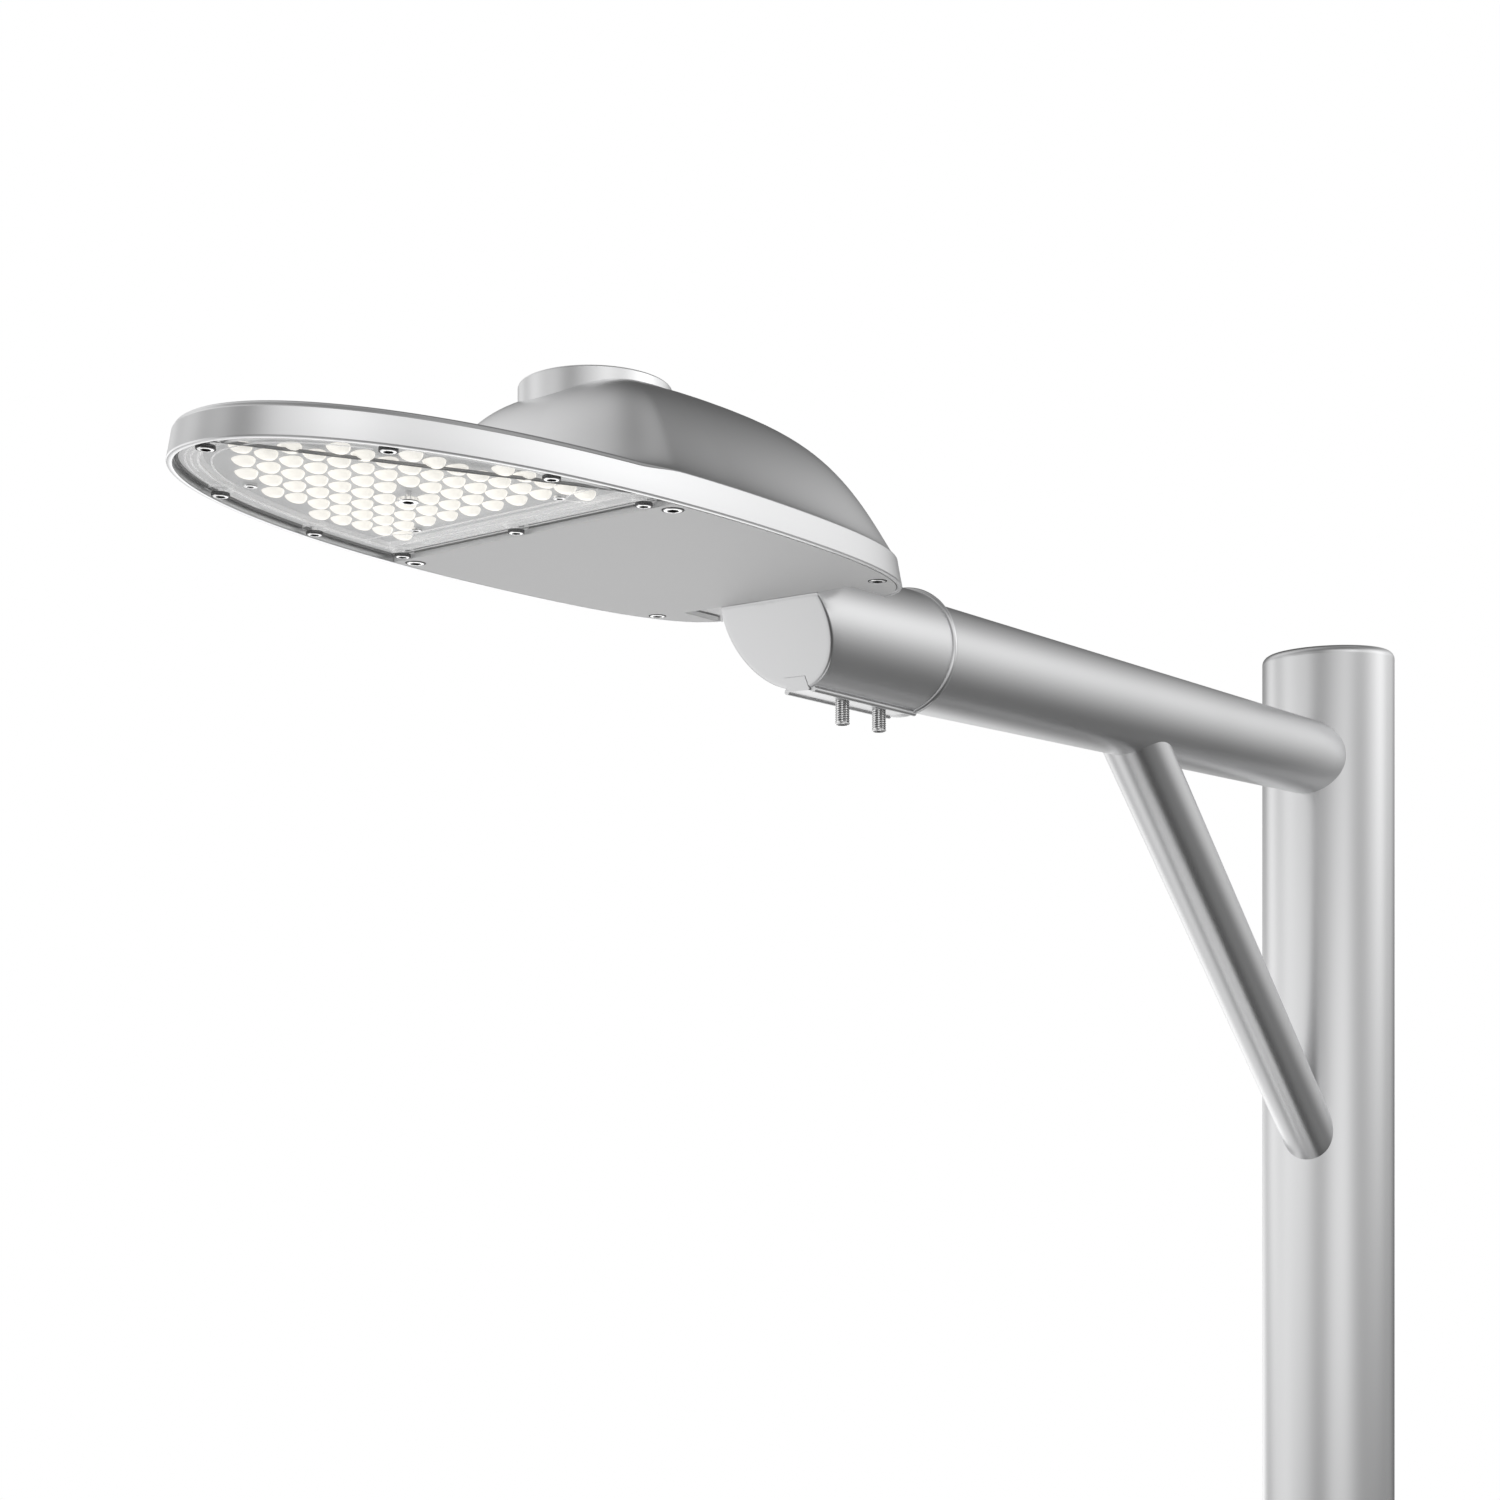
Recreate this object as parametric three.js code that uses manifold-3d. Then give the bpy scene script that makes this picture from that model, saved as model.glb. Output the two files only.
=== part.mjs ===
// Street lamp post: a steel column with a side arm, a diagonal brace and a flat LED head.
//
// Frame: millimetres, +Z up. The origin is the middle of the base plate's underside, and the
// arm points along -X. Everything on the head is drawn in the head's own frame, whose origin
// is the mouth of the spigot clamp, on the arm's axis.

import * as THREE from 'three';
import { mergeVertices } from 'three/addons/utils/BufferGeometryUtils.js';
import Module from 'manifold-3d';

const wasm = await Module();
wasm.setup();

// ---------------------------------------------------------------- driving dimensions

// column
const pole_height = 4000;        // underside of the base plate to the top of the cap
const pole_od = 133;
const pole_wall = 4;
const cap_round = 9;             // rounded edge of the cap
const cap_plug_depth = 20;       // part of the cap that sits in the tube

// base
const base_size = 280;
const base_thickness = 16;
const bolt_pitch = 200;          // square pattern of the four anchor bolts
const bolt_d = 20;
const bolt_stickout = 44;        // above the base plate
const nut_flats = 30;
const nut_height = 16;
const washer_d = 37;
const washer_t = 3;
const gusset_height = 70;
const gusset_reach = 60;
const gusset_t = 8;
const cable_hole_d = 80;         // through the base plate

// access door
const door_bottom = 500;         // above the base plate
const door_height = 400;
const door_width = 88;           // straight across the opening
const door_t = 3;
const hinge_pin_d = 5;
const hinge_barrel_d = 10;
const hinge_stand_off = 5.5;     // pin centre outside the column's surface
const lug_length = 40;
const lock_d = 16;
const lock_offset = 26;          // from the middle of the door towards its free edge

// arm and brace
const arm_od = 76.1;
const arm_wall = 3.2;
const arm_below_top = 114;       // arm axis below the top of the cap
const arm_reach = 830;           // column axis to the mouth of the clamp
const spigot_od = 60.3;          // reduced end of the arm, inside the clamp
const spigot_wall = 4;
const spigot_length = 110;
const spigot_root = 60;          // length of the spigot's collar inside the arm
const brace_od = 54;
const brace_wall = 2.9;
const brace_reach = 497;         // column axis to where the brace axis meets the arm axis
const brace_drop = 437;          // arm axis down to where the brace axis meets the column axis

// head outline, seen from below; distances along the arm are from the clamp's mouth
const head_tip = 562;            // foremost point
const head_widest = 285;         // station of greatest width
const head_half_width = 105.5;
const head_rear = 120;           // ends of the two rear lobes
const lobe_half_width = 60;      // where the lobes end, from the middle line
const outline_power = 2.1;       // 2 would make the front an ellipse
const head_rise = 10.7;          // cover plane above the arm axis

// head casting
const rim_height = 17;
const rim_lip = 3;               // the lower edge stands out past the covers
const rim_draft = 3;             // how far the side leans in by its top
const rim_round = 4.5;
const dome_front = 402;
const dome_middle = 309;         // crown, and middle of the photocontrol
const dome_height = 68;          // above the rim
const dome_wall = 4;
const side_wall = 19;            // ledge around the gear compartment
const notch_front = 155.5;
const notch_half_width = 63.4;
const notch_depth = 12;
const partition = 363.5;         // joint line between lens cover and gear cover
const dome_join = 365;           // the dome reaches the rim here
// powers of the dome's section in each direction: flatness on top, flare at the foot
const dome_front_profile = [3.2, 2];
const dome_side_profile = [4.5, 2];
const dome_rear_profile = [5, 1.22];
const tray_rear = 378;           // rear end of the LED recess
const tray_inset = 12;           // LED recess inside the outline
const tray_depth = 10;
const gear_front = 358;          // gear compartment, front and rear walls
const gear_rear = 160;

// covers, seals and screws
const cover_t = 3;
const gasket_t = 1.2;
const gasket_inset = 1;
const gasket_width = 1.8;
const lens_screw_d = 4;
const lens_head_d = 7.6;
const cover_screw_d = 5;
const cover_head_d = 10;
const head_sink = 1.5;           // how deep a screw head sits in its cover
const head_proud = 0.7;
const screw_length = 13;

// LED board and lens array
const board_t = 2;
const array_t = 2;
const lens_height = 1.6;
const led_pitch_along = 13.7;
const led_pitch_across = 16.5;
const led_first_column = 387;    // nearest column to the gear compartment
// first and last column of each row, from the middle row out
const led_rows = [[1, 11], [1, 10], [1, 9], [1, 7], [0, 4]];
const led_lens_d = 10.5;
const board_screw_d = 3;
const board_head_d = 7;
const centre_head_d = 10.4;      // screw through a boss in the middle of the lens cover
const centre_head_t = 2;
const centre_head_up = 0.5;      // underside of the head above the cover plane
const centre_boss_d = 13;

// clamp
const clamp_mouth_wall = 4.15;   // outside stands proud of the arm, tapering to the front
const clamp_front_wall = 1.25;
const clamp_front = 153;         // top edge of the slanted face
const clamp_slant = 0.63;        // the face runs back this far for each unit it drops
const clamp_ring_proud = 1.8;
const clamp_ring_width = 4;
const clamp_pad_width = 16;
const clamp_pad_proud = 0.7;
const set_screw_d = 10;
const set_screw_stations = [30, 73];
const set_screw_end = 57;        // lower end, below the arm axis

// photocontrol
const cap_d = 83.8;
const cap_top = 89.2;            // above the cover plane
const seat_level = 74;           // flat seat cut in the dome
const socket_d = 52;
const socket_flange_d = 68;
const socket_depth = 22;

// clearances
const fit = 0.3;                 // between pieces that touch along curved faces
const sliding = 0.4;             // arm in clamp, bolt in nut, pin in barrel
const cover_gap = 0.4;           // covers inside the rim
const door_gap = 1.2;
const mouth_gap = 0.5;           // end of the arm to the clamp's mouth
const bolt_clearance = 2;        // anchor bolt in the base plate

const arm_z = pole_height - arm_below_top;
const pole_r = pole_od / 2;
const pole_bore_r = pole_r - pole_wall;
const arm_r = arm_od / 2;

// ---------------------------------------------------------------- finishes

const finish = (color, metalness, roughness) => (
  new THREE.MeshStandardMaterial({ color, metalness, roughness })
);
const silver = finish(0xc4c6c8, 0.6, 0.38);
const grey_plate = finish(0xbdbdbd, 0.3, 0.5);
const clear_plastic = finish(0xe8eaea, 0.0, 0.1);
const ivory = finish(0xf2efe6, 0.0, 0.35);
const circuit_white = finish(0xdfe2e0, 0.0, 0.5);
const stainless = finish(0xd6d7d8, 0.9, 0.25);
const zinc = finish(0x9fa3a6, 0.8, 0.45);
const rubber = finish(0x2b2c2e, 0.0, 0.8);
const gear_case = finish(0xe6e6e2, 0.1, 0.5);
const black_plastic = finish(0x26282a, 0.0, 0.55);

// ---------------------------------------------------------------- solids

/** A manifold solid from a closed three.js geometry. */
function solid(geometry) {
  const bare = geometry.clone();
  for (const name of Object.keys(bare.attributes)) {
    if (name !== 'position') bare.deleteAttribute(name);
  }
  const merged = mergeVertices(bare, 1e-4);
  const index = merged.index.array;
  const kept = [];
  for (let i = 0; i < index.length; i += 3) {
    const [a, b, c] = [index[i], index[i + 1], index[i + 2]];
    if (a !== b && b !== c && c !== a) kept.push(a, b, c);
  }
  return new wasm.Manifold(new wasm.Mesh({
    numProp: 3,
    vertProperties: new Float32Array(merged.attributes.position.array),
    triVerts: new Uint32Array(kept),
  }));
}

/** A three.js geometry from a manifold solid. */
function geometry_of(shape) {
  const mesh = shape.getMesh();
  const geometry = new THREE.BufferGeometry();
  geometry.setAttribute('position', new THREE.BufferAttribute(new Float32Array(mesh.vertProperties), 3));
  geometry.setIndex(new THREE.BufferAttribute(new Uint32Array(mesh.triVerts), 1));
  geometry.computeVertexNormals();
  return geometry;
}

const join = (...shapes) => shapes.reduce((a, b) => a.add(b));
const cut = (shape, ...tools) => tools.reduce((a, b) => a.subtract(b), shape);

/** A box between two corners. */
function block(x0, x1, y0, y1, z0, z1) {
  const box = new THREE.BoxGeometry(x1 - x0, y1 - y0, z1 - z0);
  box.translate((x0 + x1) / 2, (y0 + y1) / 2, (z0 + z1) / 2);
  return solid(box);
}

/** A round bar between two points, or a cone if the second radius differs. */
function bar(from, to, radius, sides = 24, end_radius = radius) {
  const a = new THREE.Vector3(...from);
  const b = new THREE.Vector3(...to);
  const along = b.clone().sub(a);
  const cylinder = new THREE.CylinderGeometry(end_radius, radius, along.length(), sides);
  const axis = new THREE.Vector3(0, 1, 0);
  const turn = new THREE.Quaternion().setFromUnitVectors(axis, along.clone().normalize());
  cylinder.applyQuaternion(turn);
  cylinder.translate(...a.add(b).multiplyScalar(0.5).toArray());
  return solid(cylinder);
}

const upright = (x, y, z0, z1, radius, sides = 24) => bar([x, y, z0], [x, y, z1], radius, sides);

/** A closed body through rings of equally many points, each ring above the one before. */
function loft(rings) {
  const count = rings[0].length;
  const positions = rings.flat().flatMap((p) => [p.x, p.y, p.z]);
  const faces = [];
  for (let r = 0; r + 1 < rings.length; r += 1) {
    for (let i = 0; i < count; i += 1) {
      const a = r * count + i;
      const b = r * count + ((i + 1) % count);
      faces.push(a, b, b + count, a, b + count, a + count);
    }
  }
  const flat = (ring) => ring.map((p) => new THREE.Vector2(p.x, p.y));
  const top = (rings.length - 1) * count;
  for (const [a, b, c] of THREE.ShapeUtils.triangulateShape(flat(rings[0]), [])) faces.push(a, c, b);
  for (const [a, b, c] of THREE.ShapeUtils.triangulateShape(flat(rings.at(-1)), [])) {
    faces.push(top + a, top + b, top + c);
  }
  const geometry = new THREE.BufferGeometry();
  geometry.setAttribute('position', new THREE.Float32BufferAttribute(positions, 3));
  geometry.setIndex(faces);
  return solid(geometry);
}

const post = new THREE.Group();

/** Adds a named piece to a group. */
function piece(name, shape, material, parent = post) {
  const mesh = new THREE.Mesh(shape.isBufferGeometry ? shape : geometry_of(shape), material);
  mesh.name = name;
  parent.add(mesh);
  return mesh;
}

// ---------------------------------------------------------------- base

const corners = [[1, 1], [-1, 1], [-1, -1], [1, -1]];
const bolt_places = corners.map(([x, y]) => [x * bolt_pitch / 2, y * bolt_pitch / 2]);
const bolt_hole_r = bolt_d / 2 + bolt_clearance;
const bolt_holes = bolt_places.map(([x, y]) => upright(x, y, -1, base_thickness + 1, bolt_hole_r));
piece('base_plate', cut(
  block(-base_size / 2, base_size / 2, -base_size / 2, base_size / 2, 0, base_thickness),
  upright(0, 0, -1, base_thickness + 1, cable_hole_d / 2, 32),
  ...bolt_holes,
), silver);

/** Triangular stiffener standing against the column, drawn along +X and turned. */
function gusset(turn) {
  const inner = pole_r + fit;
  const outline = new THREE.Shape([
    new THREE.Vector2(inner, 0),
    new THREE.Vector2(inner + gusset_reach, 0),
    new THREE.Vector2(inner + gusset_reach, gusset_t),
    new THREE.Vector2(inner + gusset_t, gusset_height),
    new THREE.Vector2(inner, gusset_height),
  ]);
  const plate = new THREE.ExtrudeGeometry(outline, { depth: gusset_t, bevelEnabled: false });
  plate.translate(0, 0, -gusset_t / 2);
  plate.rotateX(Math.PI / 2);
  plate.rotateZ(turn);
  plate.translate(0, 0, base_thickness);
  return plate;
}

for (let i = 0; i < 4; i += 1) piece(`base_gusset_${i + 1}`, solid(gusset(i * Math.PI / 2)), silver);

bolt_places.forEach(([x, y], i) => {
  const top = base_thickness + bolt_stickout;
  piece(`anchor_bolt_${i + 1}`, upright(x, y, 0, top, bolt_d / 2, 16), zinc);
  const washer = upright(x, y, base_thickness, base_thickness + washer_t, washer_d / 2, 24);
  const nut_top = base_thickness + washer_t + nut_height;
  const nut_r = nut_flats / 2 / Math.cos(Math.PI / 6);
  const hexagon = upright(x, y, base_thickness + washer_t, nut_top, nut_r, 6);
  const bore = upright(x, y, base_thickness - 1, nut_top + 1, bolt_d / 2 + sliding, 16);
  piece(`anchor_nut_${i + 1}`, cut(join(washer, hexagon), bore), zinc);
});

// ---------------------------------------------------------------- column

const door_z0 = base_thickness + door_bottom;
const door_z1 = door_z0 + door_height;
const door_zm = (door_z0 + door_z1) / 2;
const tube_top = pole_height - cap_round;
const tube_sides = 48;

/** An upright tube on the column's axis. */
const sleeve = (outer, inner, z0, z1) => cut(
  upright(0, 0, z0, z1, outer, tube_sides),
  upright(0, 0, z0 - 1, z1 + 1, inner, tube_sides),
);

/** A block on the door's side of the column, with rounded corners in its front view. */
function door_block(width, height, corner) {
  const [w, h] = [width / 2, height / 2];
  const outline = new THREE.Shape();
  outline.moveTo(-w + corner, -h);
  outline.lineTo(w - corner, -h);
  outline.absarc(w - corner, -h + corner, corner, -Math.PI / 2, 0);
  outline.absarc(w - corner, h - corner, corner, 0, Math.PI / 2);
  outline.absarc(-w + corner, h - corner, corner, Math.PI / 2, Math.PI);
  outline.absarc(-w + corner, -h + corner, corner, Math.PI, Math.PI * 1.5);
  const settings = { depth: pole_od, bevelEnabled: false, curveSegments: 5 };
  const slab = new THREE.ExtrudeGeometry(outline, settings);
  slab.rotateX(Math.PI / 2);
  slab.translate(0, 0, door_zm);
  return solid(slab);
}

const door_corner = 15;
const arm_cable_hole_r = 15;
piece('pole_tube', cut(
  sleeve(pole_r, pole_bore_r, base_thickness, tube_top),
  door_block(door_width, door_height, door_corner),
  bar([-pole_od, 0, arm_z], [0, 0, arm_z], arm_cable_hole_r, 20),
), silver);

const cap_profile = new THREE.Path();
cap_profile.moveTo(0, tube_top - cap_plug_depth);
cap_profile.lineTo(pole_bore_r - fit, tube_top - cap_plug_depth);
cap_profile.lineTo(pole_bore_r - fit, tube_top);
cap_profile.lineTo(pole_r, tube_top);
cap_profile.absarc(pole_r - cap_round, tube_top, cap_round, 0, Math.PI / 2);
cap_profile.lineTo(0, pole_height);
const cap_body = new THREE.LatheGeometry(cap_profile.getPoints(3), tube_sides);
cap_body.rotateX(Math.PI / 2);
piece('pole_cap', solid(cap_body), silver);

// ---------------------------------------------------------------- access door

// The hinge pin stands just outside the column beside the opening.
const door_edge_angle = Math.asin(door_width / 2 / pole_r);
const hinge_angle = door_edge_angle + 0.03;
const hinge_radius = pole_r + hinge_stand_off;
const hinge_x = -hinge_radius * Math.sin(hinge_angle);
const hinge_y = -hinge_radius * Math.cos(hinge_angle);
const barrel_r = hinge_barrel_d / 2;
const pin_hole_r = hinge_pin_d / 2 + sliding;
const lug_gap = 0.5;
const hinge_half = 100;          // middle of the door to the middle of a lug

const pin_hole = upright(hinge_x, hinge_y, door_z0 - 50, door_z1 + 50, pin_hole_r, 16);

/** A plate from the hinge pin towards a point on the column's surface. */
function web(angle, z0, z1, thickness) {
  const reach = new THREE.Vector2(-pole_r * Math.sin(angle) - hinge_x, -pole_r * Math.cos(angle) - hinge_y);
  const plate = new THREE.BoxGeometry(reach.length() + 3, thickness, z1 - z0);
  plate.translate((reach.length() + 3) / 2, 0, (z0 + z1) / 2);
  plate.rotateZ(reach.angle());
  plate.translate(hinge_x, hinge_y, 0);
  return solid(plate);
}

const column_clear = upright(0, 0, 0, pole_height, pole_r + fit, tube_sides);
[-1, 1].forEach((side, i) => {
  const middle = door_zm + side * hinge_half;
  const [z0, z1] = [middle - lug_length / 2, middle + lug_length / 2];
  const barrel = upright(hinge_x, hinge_y, z0, z1, barrel_r, 16);
  const foot = web(hinge_angle + 0.12, z0, z1, 6);
  piece(`door_hinge_lug_${i + 1}`, cut(join(barrel, foot), pin_hole, column_clear), silver);
});

const leaf_shell = sleeve(pole_r, pole_r - door_t, door_z0, door_z1);
const leaf_width = door_width - 2 * door_gap;
const leaf_height = door_height - 2 * door_gap;
const leaf_blank = door_block(leaf_width, leaf_height, door_corner - door_gap);
const leaf_z0 = door_zm - hinge_half + lug_length / 2 + lug_gap;
const leaf_z1 = door_zm + hinge_half - lug_length / 2 - lug_gap;
const leaf_barrel = upright(hinge_x, hinge_y, leaf_z0, leaf_z1, barrel_r, 16);
const leaf_web = web(hinge_angle - 0.12, leaf_z0, leaf_z1, 4);
const inside_column = upright(0, 0, door_z0, door_z1, pole_r - door_t / 2, tube_sides);
const lock_y = -Math.sqrt(pole_r ** 2 - lock_offset ** 2);
const lock_line = (y0, y1, radius, sides) => (
  bar([lock_offset, y0, door_zm], [lock_offset, y1, door_zm], radius, sides)
);
const lock_hole = lock_line(0, -pole_od, lock_d / 2 + sliding, 20);
piece('access_door', cut(
  join(leaf_shell.intersect(leaf_blank), cut(join(leaf_barrel, leaf_web), inside_column)),
  pin_hole,
  lock_hole,
), silver);

const pin_reach = hinge_half + lug_length / 2 + 2;
const hinge_pin = upright(hinge_x, hinge_y, door_zm - pin_reach, door_zm + pin_reach, hinge_pin_d / 2, 16);
piece('door_hinge_pin', hinge_pin, stainless);

// Lock: barrel with a triangular key socket, and a cam that turns behind the column's wall.
const cam_y = -36;
const cam_t = 3;
const cam_length = 22;
const lock_face = lock_y - 2.5;
const cam_half = 5;
const lock_barrel = lock_line(lock_face, cam_y + cam_t, lock_d / 2, 20);
const key_socket = lock_line(lock_face - 1, lock_face + 8, 5, 3);
const cam = block(
  lock_offset - cam_half, lock_offset + cam_half, cam_y, cam_y + cam_t, door_zm - 6, door_zm + cam_length,
);
const lock_turn = cut(join(lock_barrel, cam), key_socket);
piece('door_lock', lock_turn, stainless);

// ---------------------------------------------------------------- electrical fittings in the column

const board_width = 70;
const board_y = 40;
const backboard_t = 8;
const backboard_height = 340;
const post_r = 6;
const backboard = join(
  block(-board_width / 2, board_width / 2, board_y, board_y + backboard_t,
    door_zm - backboard_height / 2, door_zm + backboard_height / 2),
  ...[-1, 1].map((side) => bar(
    [0, board_y + backboard_t - 1, door_zm + side * 130],
    [0, Math.sqrt(pole_bore_r ** 2 - post_r ** 2) - fit, door_zm + side * 130],
    post_r, 12,
  )),
);
piece('fuse_backboard', backboard, grey_plate);

const fuse_z0 = door_zm - 20;
const fuse_y = board_y - 44;
const fuse_body = block(-30, 30, fuse_y, board_y, fuse_z0, fuse_z0 + 130);
const fuse_slot = block(-9, 9, fuse_y - 1, fuse_y + 6, fuse_z0 + 55, fuse_z0 + 105);
piece('fuse_unit', cut(fuse_body, fuse_slot), black_plastic);

const terminal_body = block(-25, 25, board_y - 26, board_y, door_zm - 130, door_zm - 60);
const terminal_slots = [-16, -5.5, 5, 15.5].map((x) => block(
  x - 2.5, x + 2.5, board_y - 27, board_y - 18, door_zm - 120, door_zm - 70,
));
piece('supply_terminals', cut(terminal_body, ...terminal_slots), grey_plate);

const stud_r = 4;
const stud_wall_x = -Math.sqrt(pole_bore_r ** 2 - stud_r ** 2) + fit;
const stud_z = door_z0 + 40;
piece('earth_stud', join(
  bar([stud_wall_x, 0, stud_z], [stud_wall_x + 22, 0, stud_z], stud_r, 12),
  bar([stud_wall_x + 8, 0, stud_z], [stud_wall_x + 14.5, 0, stud_z], 7.5, 6),
), stainless);

// ---------------------------------------------------------------- arm and brace

const pole_cope = upright(0, 0, arm_z - 900, arm_z + 200, pole_r + fit, tube_sides);
const arm_end = -arm_reach + mouth_gap;
const arm_bore_r = arm_r - arm_wall;
piece('arm_tube', cut(
  bar([arm_end, 0, arm_z], [0, 0, arm_z], arm_r, 40),
  bar([arm_end - 1, 0, arm_z], [1, 0, arm_z], arm_bore_r, 32),
  pole_cope,
), silver);

const spigot_r = spigot_od / 2;
const spigot_end = -arm_reach - spigot_length;
piece('arm_spigot', cut(
  join(
    bar([spigot_end, 0, arm_z], [arm_end + spigot_root, 0, arm_z], spigot_r, 32),
    bar([arm_end + 2, 0, arm_z], [arm_end + spigot_root, 0, arm_z], arm_bore_r - fit, 32),
  ),
  bar([spigot_end - 1, 0, arm_z], [arm_end + spigot_root + 1, 0, arm_z], spigot_r - spigot_wall, 24),
), zinc);

const arm_cope = bar([-arm_reach, 0, arm_z], [0, 0, arm_z], arm_r + fit, 40);
const above_arm = block(-arm_reach, 0, -arm_od, arm_od, arm_z, pole_height);
const brace_foot = [0, 0, arm_z - brace_drop];
const brace_head = [-brace_reach, 0, arm_z];
piece('brace_tube', cut(
  bar(brace_foot, brace_head, brace_od / 2, 32),
  bar(brace_foot, brace_head, brace_od / 2 - brace_wall, 24),
  pole_cope,
  arm_cope,
  above_arm,
), silver);

// ---------------------------------------------------------------- head

const head = new THREE.Group();
head.position.set(-arm_reach, 0, arm_z);
post.add(head);

const front_points = 15;
const rear_points = 11;

/** The head's outline, grown outwards, as points counter-clockwise from the tip. */
function head_outline(grow) {
  const half = [];
  for (let i = 0; i < front_points; i += 1) {
    const t = (i / front_points) * Math.PI / 2;
    half.push(new THREE.Vector2(
      -head_widest - (head_tip - head_widest + grow) * Math.cos(t) ** (2 / outline_power),
      (head_half_width + grow) * Math.sin(t) ** (2 / outline_power),
    ));
  }
  const lobe_x = -head_rear + grow;
  const rear = new THREE.CubicBezierCurve(
    new THREE.Vector2(-head_widest, head_half_width + grow),
    new THREE.Vector2(-head_widest + 0.745 * (head_widest - head_rear), head_half_width + grow),
    new THREE.Vector2(lobe_x - 4, lobe_half_width + 27 + grow),
    new THREE.Vector2(lobe_x, lobe_half_width),
  );
  half.push(...rear.getPoints(rear_points));
  const mirror = half.slice(1).reverse().map((p) => new THREE.Vector2(p.x, -p.y));
  return [...mirror, ...half].reverse();
}

const ring_at = (outline, z) => outline.map((p) => new THREE.Vector3(p.x, p.y, z));
const plane = head_rise;

/** An upright prism of the head's outline between two levels above the cover plane. */
const outline_prism = (grow, z0, z1) => loft([
  ring_at(head_outline(grow), plane + z0),
  ring_at(head_outline(grow), plane + z1),
]);

/** Foot of the dome: the rim's outline behind a rounded front edge. */
function dome_foot(grow) {
  const sides = head_outline(grow).filter((p) => p.x > -dome_join);
  const left = sides.filter((p) => p.y > 0);
  const right = sides.filter((p) => p.y < 0);
  const corner = left.at(-1);
  const front = [];
  const steps = 10;
  for (let i = 1; i < steps; i += 1) {
    const t = Math.PI / 2 - (i / steps) * Math.PI;
    const x = corner.x + (-dome_front - grow - corner.x) * Math.cos(t);
    front.push(new THREE.Vector2(x, corner.y * Math.sign(t) * Math.abs(Math.sin(t)) ** 0.8));
  }
  const lobe = right.at(-1);
  const rear = [-0.8, -0.4, 0, 0.4, 0.8].map((side) => new THREE.Vector2(
    lobe.x + rim_lip * (1 - side ** 2),
    Math.abs(lobe.y) * side,
  ));
  return [...left, ...front, ...right, ...rear];
}

/** The dome over a foot, with rings at shares of its width, as a closed body reaching down to a level. */
function dome(grow, height, z0, shares) {
  const foot = dome_foot(grow);
  const to_front = -dome_front + dome_middle;
  const to_rear = -head_rear + dome_middle;
  const profiles = foot.map((p) => {
    const dx = p.x + dome_middle;
    const front = dx < 0 ? Math.min(1, dx / to_front) ** 2 : 0;
    const rear = dx > 0 ? Math.min(1, dx / to_rear) ** 2 : 0;
    return [0, 1].map((i) => front * dome_front_profile[i] + rear * dome_rear_profile[i]
      + (1 - front - rear) * dome_side_profile[i]);
  });
  const ring = (share, base) => foot.map((p, i) => new THREE.Vector3(
    -dome_middle + (p.x + dome_middle) * share,
    p.y * share,
    plane + (base ?? rim_height + height * (1 - share ** profiles[i][0]) ** profiles[i][1]),
  ));
  return loft([ring(1, z0), ring(1, rim_height), ...shares.map((share) => ring(share))]);
}

// clamp shape, also used to cut its seat in the casting
const clamp_mouth_r = arm_r + clamp_mouth_wall;
const clamp_front_r = arm_r + clamp_front_wall;
const clamp_body = (grow) => bar(
  [-clamp_front - grow, 0, 0], [grow, 0, 0], clamp_front_r + grow, 40, clamp_mouth_r + grow,
);

// photocontrol on the dome's crown
const cap_r = cap_d / 2;
const socket_r = socket_d / 2;
const seat_z = plane + seat_level;
const seat_r = cap_r + 2 * fit;

// cable gland between the clamp's bore and the gear compartment
const gland_z = 22;
const gland_r = 5.5;
const gland_bore_r = 3.5;
const gland_inner = -spigot_length - 4;

// screw stations: distance from the clamp's mouth, and off the middle line
const lens_screws = [[556.2, 0], [505.8, 60], [430.6, 85], [369.1, 87.4]];
const lens_screw_rear = [369.1, 0];
const cover_screws = [[354.4, 93.5], [159.2, 84.3]];
const both_sides = (places) => places.flatMap(([x, y]) => (y === 0 ? [[-x, 0]] : [[-x, y], [-x, -y]]));
const lens_screw_places = [...both_sides(lens_screws), ...both_sides([lens_screw_rear])];
const cover_screw_places = both_sides(cover_screws);

const led_x = (column) => -led_first_column - led_pitch_along * column;
const centre_place = [led_x(4), 0];
const board_screw_places = [-1, 1].flatMap((side) => [
  [led_x(8), side * 3 * led_pitch_across],
  [-391, side * 52],
]);
const board_places = [centre_place, ...board_screw_places];

const hole_through = (x, y, diameter) => (
  upright(x, y, plane - 2, plane + screw_length + 1, diameter / 2 + fit, 8)
);
const casting_holes = [
  ...lens_screw_places.map(([x, y]) => hole_through(x, y, lens_screw_d)),
  ...cover_screw_places.map(([x, y]) => hole_through(x, y, cover_screw_d)),
  ...board_places.map(([x, y]) => hole_through(x, y, board_screw_d)),
];

// outer skin: a rim with a drafted side and rounded top edge, and the dome on it
const rim_top_grow = rim_lip - rim_draft;
const rim_round_rings = [0, 0.45, 1].map((share) => {
  const a = share * Math.PI / 2;
  return [rim_top_grow - rim_round * (1 - Math.cos(a)), rim_height - rim_round * (1 - Math.sin(a))];
});
const lip_edge = 0.8;
const rim_rings = [[rim_lip - lip_edge, 0], [rim_lip, lip_edge], ...rim_round_rings];
const rim = loft(rim_rings.map(([grow, z]) => ring_at(head_outline(grow), plane + z)));
const dome_inset = -0.8;
const outer_shares = [0.94, 0.88, 0.81, 0.73, 0.63, 0.48, 0.3];
const inner_shares = [0.9, 0.77, 0.6, 0.35];
const skin = rim.add(dome(dome_inset, dome_height, rim_height - rim_round, outer_shares));

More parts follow.
